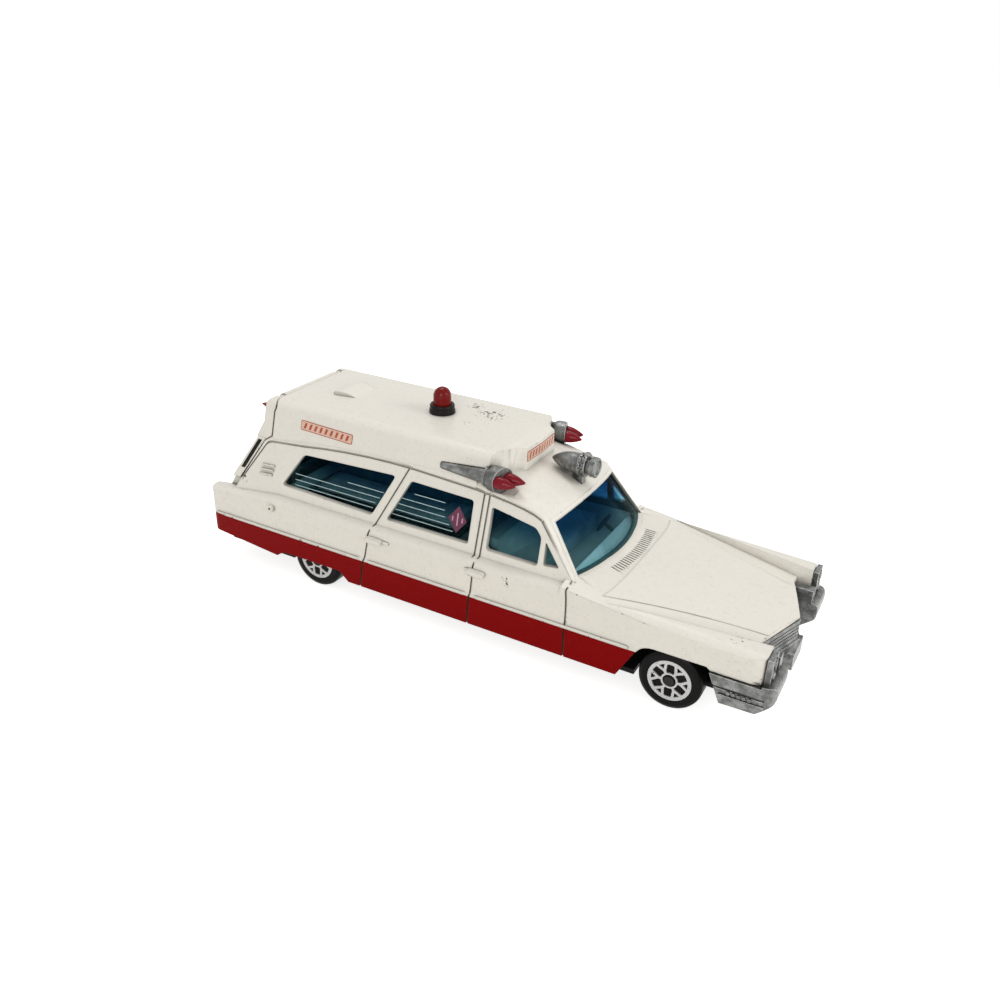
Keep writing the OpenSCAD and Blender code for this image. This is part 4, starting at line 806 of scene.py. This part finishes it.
def label(word, spot_at, u0, v0, u1, v1, slope):
    """Framed label with a row of slanted bars; its lines rise by slope along u."""

    def sheared(outlines):
        return [[(u, v + slope * (u - u0)) for u, v in outline] for outline in outlines]

    def layer(part, outlines, lift_and_thickness, look):
        lift, thickness = lift_and_thickness
        name = f"label_{part}_{word}"
        flat_piece(name, sheared(outlines), spot_at(lift), thickness, look, "car")

    edge = LABEL_MARGIN
    layer("frame", strip(u0, v0, u1, v1, LABEL_R, LABEL_SLICES), FRAME_LAYER, LABEL_INK)
    inner = strip(u0 + edge, v0 + edge, u1 - edge, v1 - edge, LABEL_INNER_R, LABEL_SLICES)
    layer("ground", inner, GROUND_LAYER, LABEL_GROUND)
    pitch = (u1 - u0 - LABEL_BAR_ENDS) / LABEL_BARS
    low, high = v0 + LABEL_BAR_EDGE, v1 - LABEL_BAR_EDGE
    lean = LABEL_BAR_LEAN
    width = LABEL_BAR_SHARE * pitch
    bars = []
    for i in range(LABEL_BARS):
        start = u0 + LABEL_BAR_START + i * pitch
        bars.append([(start, low), (start + width, low), (start + width + lean, high), (start + lean, high)])
    layer("bars", bars, BARS_LAYER, LABEL_INK)


body_faces = surface_of("body_shell")
for side, word in SIDES:
    label(word, lambda lift, s=side: on_flank(body_faces, s, lift), *SIDE_LABEL)
label("front", lambda lift: on_front(body_faces, lift), *FRONT_LABEL)


def turned(outline, degrees):
    """Outline turned about its own middle."""
    cu = sum(u for u, _ in outline) / len(outline)
    cv = sum(v for _, v in outline) / len(outline)
    c, t = math.cos(math.radians(degrees)), math.sin(math.radians(degrees))
    return [(cu + c * (u - cu) - t * (v - cv), cv + t * (u - cu) + c * (v - cv)) for u, v in outline]


# Radius of a bar's corners as a share of its height
BAR_ROUND = 0.45


def bar(u, v, length, height, degrees=0.0):
    """Round-ended bar round a middle point."""
    r = BAR_ROUND * height
    outline = rounded_box(u - length / 2, v - height / 2, u + length / 2, v + height / 2, r)
    return turned(outline, degrees)


# How deep a piece that stands out begins below the surface
SUNK = 0.3
# Door handles: middles, then length, height and turn in degrees
HANDLES = ((6.4, 19.55), (-22.0, 19.55))
HANDLE = (4.6, 1.35, -1.0)
HANDLE_OUT = 1.0
# Fuel cap: middle, diameter and height, and the dot on it
CAP = (-54.5, 19.4)
CAP_D = 1.9
CAP_OUT = 0.6
DOT_D = 0.6
# Rib on the bumper's ends, its middle, length and height, and the marks over it
BUMPER_RIB = (69.2, 9.3, 9.4, 0.45)
BUMPER_MARKS = (66.6, 67.7, 68.8, 69.9, 71.0)
BUMPER_MARK_Z = 10.25
BUMPER_MARK_D = 0.7
RIB_OUT = 0.4
# Lip over the red band: rear end, lower edge, front end and upper edge
LIP = (-74.0, 12.75, 44.2, 13.2)
LIP_R = 0.2
LIP_SLICES = 66
LIP_OUT = 0.28
enamel = LOOKS["white_paint"]
zinc = LOOKS["bare_zinc"]
dark = LOOKS["black_plastic"]
casting_faces = surface_of("front_casting")
for side, word in SIDES:
    level = off_flank(body_faces, side, -SUNK)
    for place, (x, z) in zip(("front", "rear"), HANDLES):
        outline = bar(x, z, *HANDLE)
        name = f"door_handle_{place}_{word}"
        flat_piece(name, [outline], level(outline), HANDLE_OUT + SUNK, enamel, "car")
    cap = bar(*CAP, CAP_D, CAP_D)
    flat_piece(f"fuel_cap_{word}", [cap], level(cap), CAP_OUT + SUNK, enamel, "car")
    dot = bar(*CAP, DOT_D, DOT_D)
    raised = off_flank(body_faces, side, CAP_OUT)
    flat_piece(f"fuel_cap_dot_{word}", [dot], raised(dot), PRINT_T, dark, "car")
    lip = strip(*LIP, LIP_R, LIP_SLICES)
    on_body = on_flank(body_faces, side, -SUNK)
    flat_piece(f"flank_lip_{word}", lip, on_body, LIP_OUT + SUNK, enamel, "car")
    marks = [bar(x, BUMPER_MARK_Z, BUMPER_MARK_D, BUMPER_MARK_D) for x in BUMPER_MARKS]
    ribs = [bar(*BUMPER_RIB), *marks]
    on_casting = on_flank(casting_faces, side, -SUNK)
    flat_piece(f"bumper_ribs_{word}", ribs, on_casting, RIB_OUT + SUNK, zinc, "car")

# Dark slit down each side of the tailgate, where its glass shows edge-on
SLIT = ((-62.4, 34.6), (-67.3, 26.4), (-66.1, 26.4), (-61.2, 34.6))
SLIT_LIFT = 0.02
gate_faces = surface_of("tailgate")
for side, word in SIDES:
    on_gate = on_flank(gate_faces, side, SLIT_LIFT)
    flat_piece(f"gate_slit_{word}", [SLIT], on_gate, PRINT_T, dark, "rear_door")


# Floor, backdrop, light and camera, with lengths in metres
FLOOR_COLOUR = (0.84, 0.83, 0.81, 1.0)
FLOOR_GLOW = 0.72
FLOOR_R = 3.0
FLOOR_CORNERS = 96
WORLD_LIGHT = 0.5
LAMP_AIM = (0.0, 0.0, 0.02)
CLIP_START = 0.005
CLIP_END = 20.0
# Lamps: name, place, size, power in watts and colour
LAMPS = (
    ("key", (-0.25, 0.25, 0.90), 0.35, 2.5, (1.0, 0.985, 0.955)),
    ("fill", (0.25, -0.95, 0.42), 0.45, 3.5, (1.0, 0.985, 0.965)),
    ("front", (0.85, 0.10, 0.42), 0.4, 2.7, (1.0, 1.0, 1.0)),
)


def stage_look():
    """Pale floor that shows white and keeps the car's shadow."""
    look = Look("studio_white")
    rays = look.add("ShaderNodeLightPath").outputs
    matt = look.add("ShaderNodeBsdfDiffuse")
    matt.inputs["Color"].default_value = FLOOR_COLOUR
    glow = look.add("ShaderNodeEmission")
    mirrored = look.math("MAXIMUM", rays["Is Glossy Ray"], rays["Is Transmission Ray"])
    seen = look.math("MAXIMUM", rays["Is Camera Ray"], mirrored)
    look.join(look.between(seen, 0.0, FLOOR_GLOW), glow.inputs["Strength"])
    both = look.add("ShaderNodeAddShader")
    look.join(matt.outputs[0], both.inputs[0])
    look.join(glow.outputs[0], both.inputs[1])
    return look.done(both.outputs[0])


def make_stage():
    """Round flat floor; beyond it the white world is the backdrop."""
    shape = bmesh.new()
    angles = [2 * math.pi * k / FLOOR_CORNERS for k in range(FLOOR_CORNERS)]
    rim = [(FLOOR_R * math.cos(angle), FLOOR_R * math.sin(angle), 0.0) for angle in angles]
    shape.faces.new([shape.verts.new(corner) for corner in rim])
    mesh = bpy.data.meshes.new("studio_floor")
    shape.to_mesh(mesh)
    shape.free()
    mesh.materials.append(stage_look())
    link(bpy.data.objects.new("studio_floor", mesh))


def make_world():
    """Even light all round: white to the camera, in reflections and through clear pieces, dimmer as light."""
    world = bpy.data.worlds.new("studio")
    bpy.context.scene.world = world
    world.use_nodes = True
    tree = world.node_tree
    rays = tree.nodes.new("ShaderNodeLightPath").outputs
    back = tree.nodes["Background"]
    back.inputs["Color"].default_value = (1.0, 1.0, 1.0, 1.0)
    seen = rays["Is Camera Ray"]
    for kind in ("Is Glossy Ray", "Is Transmission Ray"):
        either = tree.nodes.new("ShaderNodeMath")
        either.operation = "MAXIMUM"
        tree.links.new(seen, either.inputs[0])
        tree.links.new(rays[kind], either.inputs[1])
        seen = either.outputs[0]
    level = tree.nodes.new("ShaderNodeMapRange")
    level.inputs["To Min"].default_value = WORLD_LIGHT
    level.inputs["To Max"].default_value = 1.0
    tree.links.new(seen, level.inputs["Value"])
    tree.links.new(level.outputs[0], back.inputs["Strength"])


def make_lamp(name, place, size, power, colour):
    """Square soft lamp that looks at the car."""
    data = bpy.data.lights.new(name, "AREA")
    data.size = size
    data.energy = power
    data.color = colour
    lamp = link(bpy.data.objects.new(name, data))
    lamp.location = place
    lamp.rotation_euler = (Vector(LAMP_AIM) - Vector(place)).to_track_quat("-Z", "Y").to_euler()


def make_camera():
    """Camera where the photograph was taken from."""
    azimuth, elevation, roll = (math.radians(v) for v in (VIEW_AZIMUTH, VIEW_ELEVATION, VIEW_ROLL))
    back = Vector(
        (
            math.sin(azimuth) * math.cos(elevation),
            -math.cos(azimuth) * math.cos(elevation),
            math.sin(elevation),
        )
    )
    right = (-back).cross(Vector((0, 0, 1))).normalized()
    up = right.cross(-back)
    turned_right = math.cos(roll) * right + math.sin(roll) * up
    turned_up = -math.sin(roll) * right + math.cos(roll) * up
    place = to_m(*VIEW_TARGET) + back * VIEW_DISTANCE * MM
    data = bpy.data.cameras.new("photo_view")
    data.sensor_width = SENSOR_MM
    data.lens = LENS_MM
    data.clip_start = CLIP_START
    data.clip_end = CLIP_END
    camera = link(bpy.data.objects.new("photo_view", data))
    turn = Matrix((turned_right, turned_up, back)).transposed().to_4x4()
    camera.matrix_world = Matrix.Translation(place) @ turn
    bpy.context.scene.camera = camera


make_stage()
make_world()
for lamp_row in LAMPS:
    make_lamp(*lamp_row)
make_camera()
bpy.context.scene.view_settings.view_transform = "Standard"

bpy.context.view_layer.update()
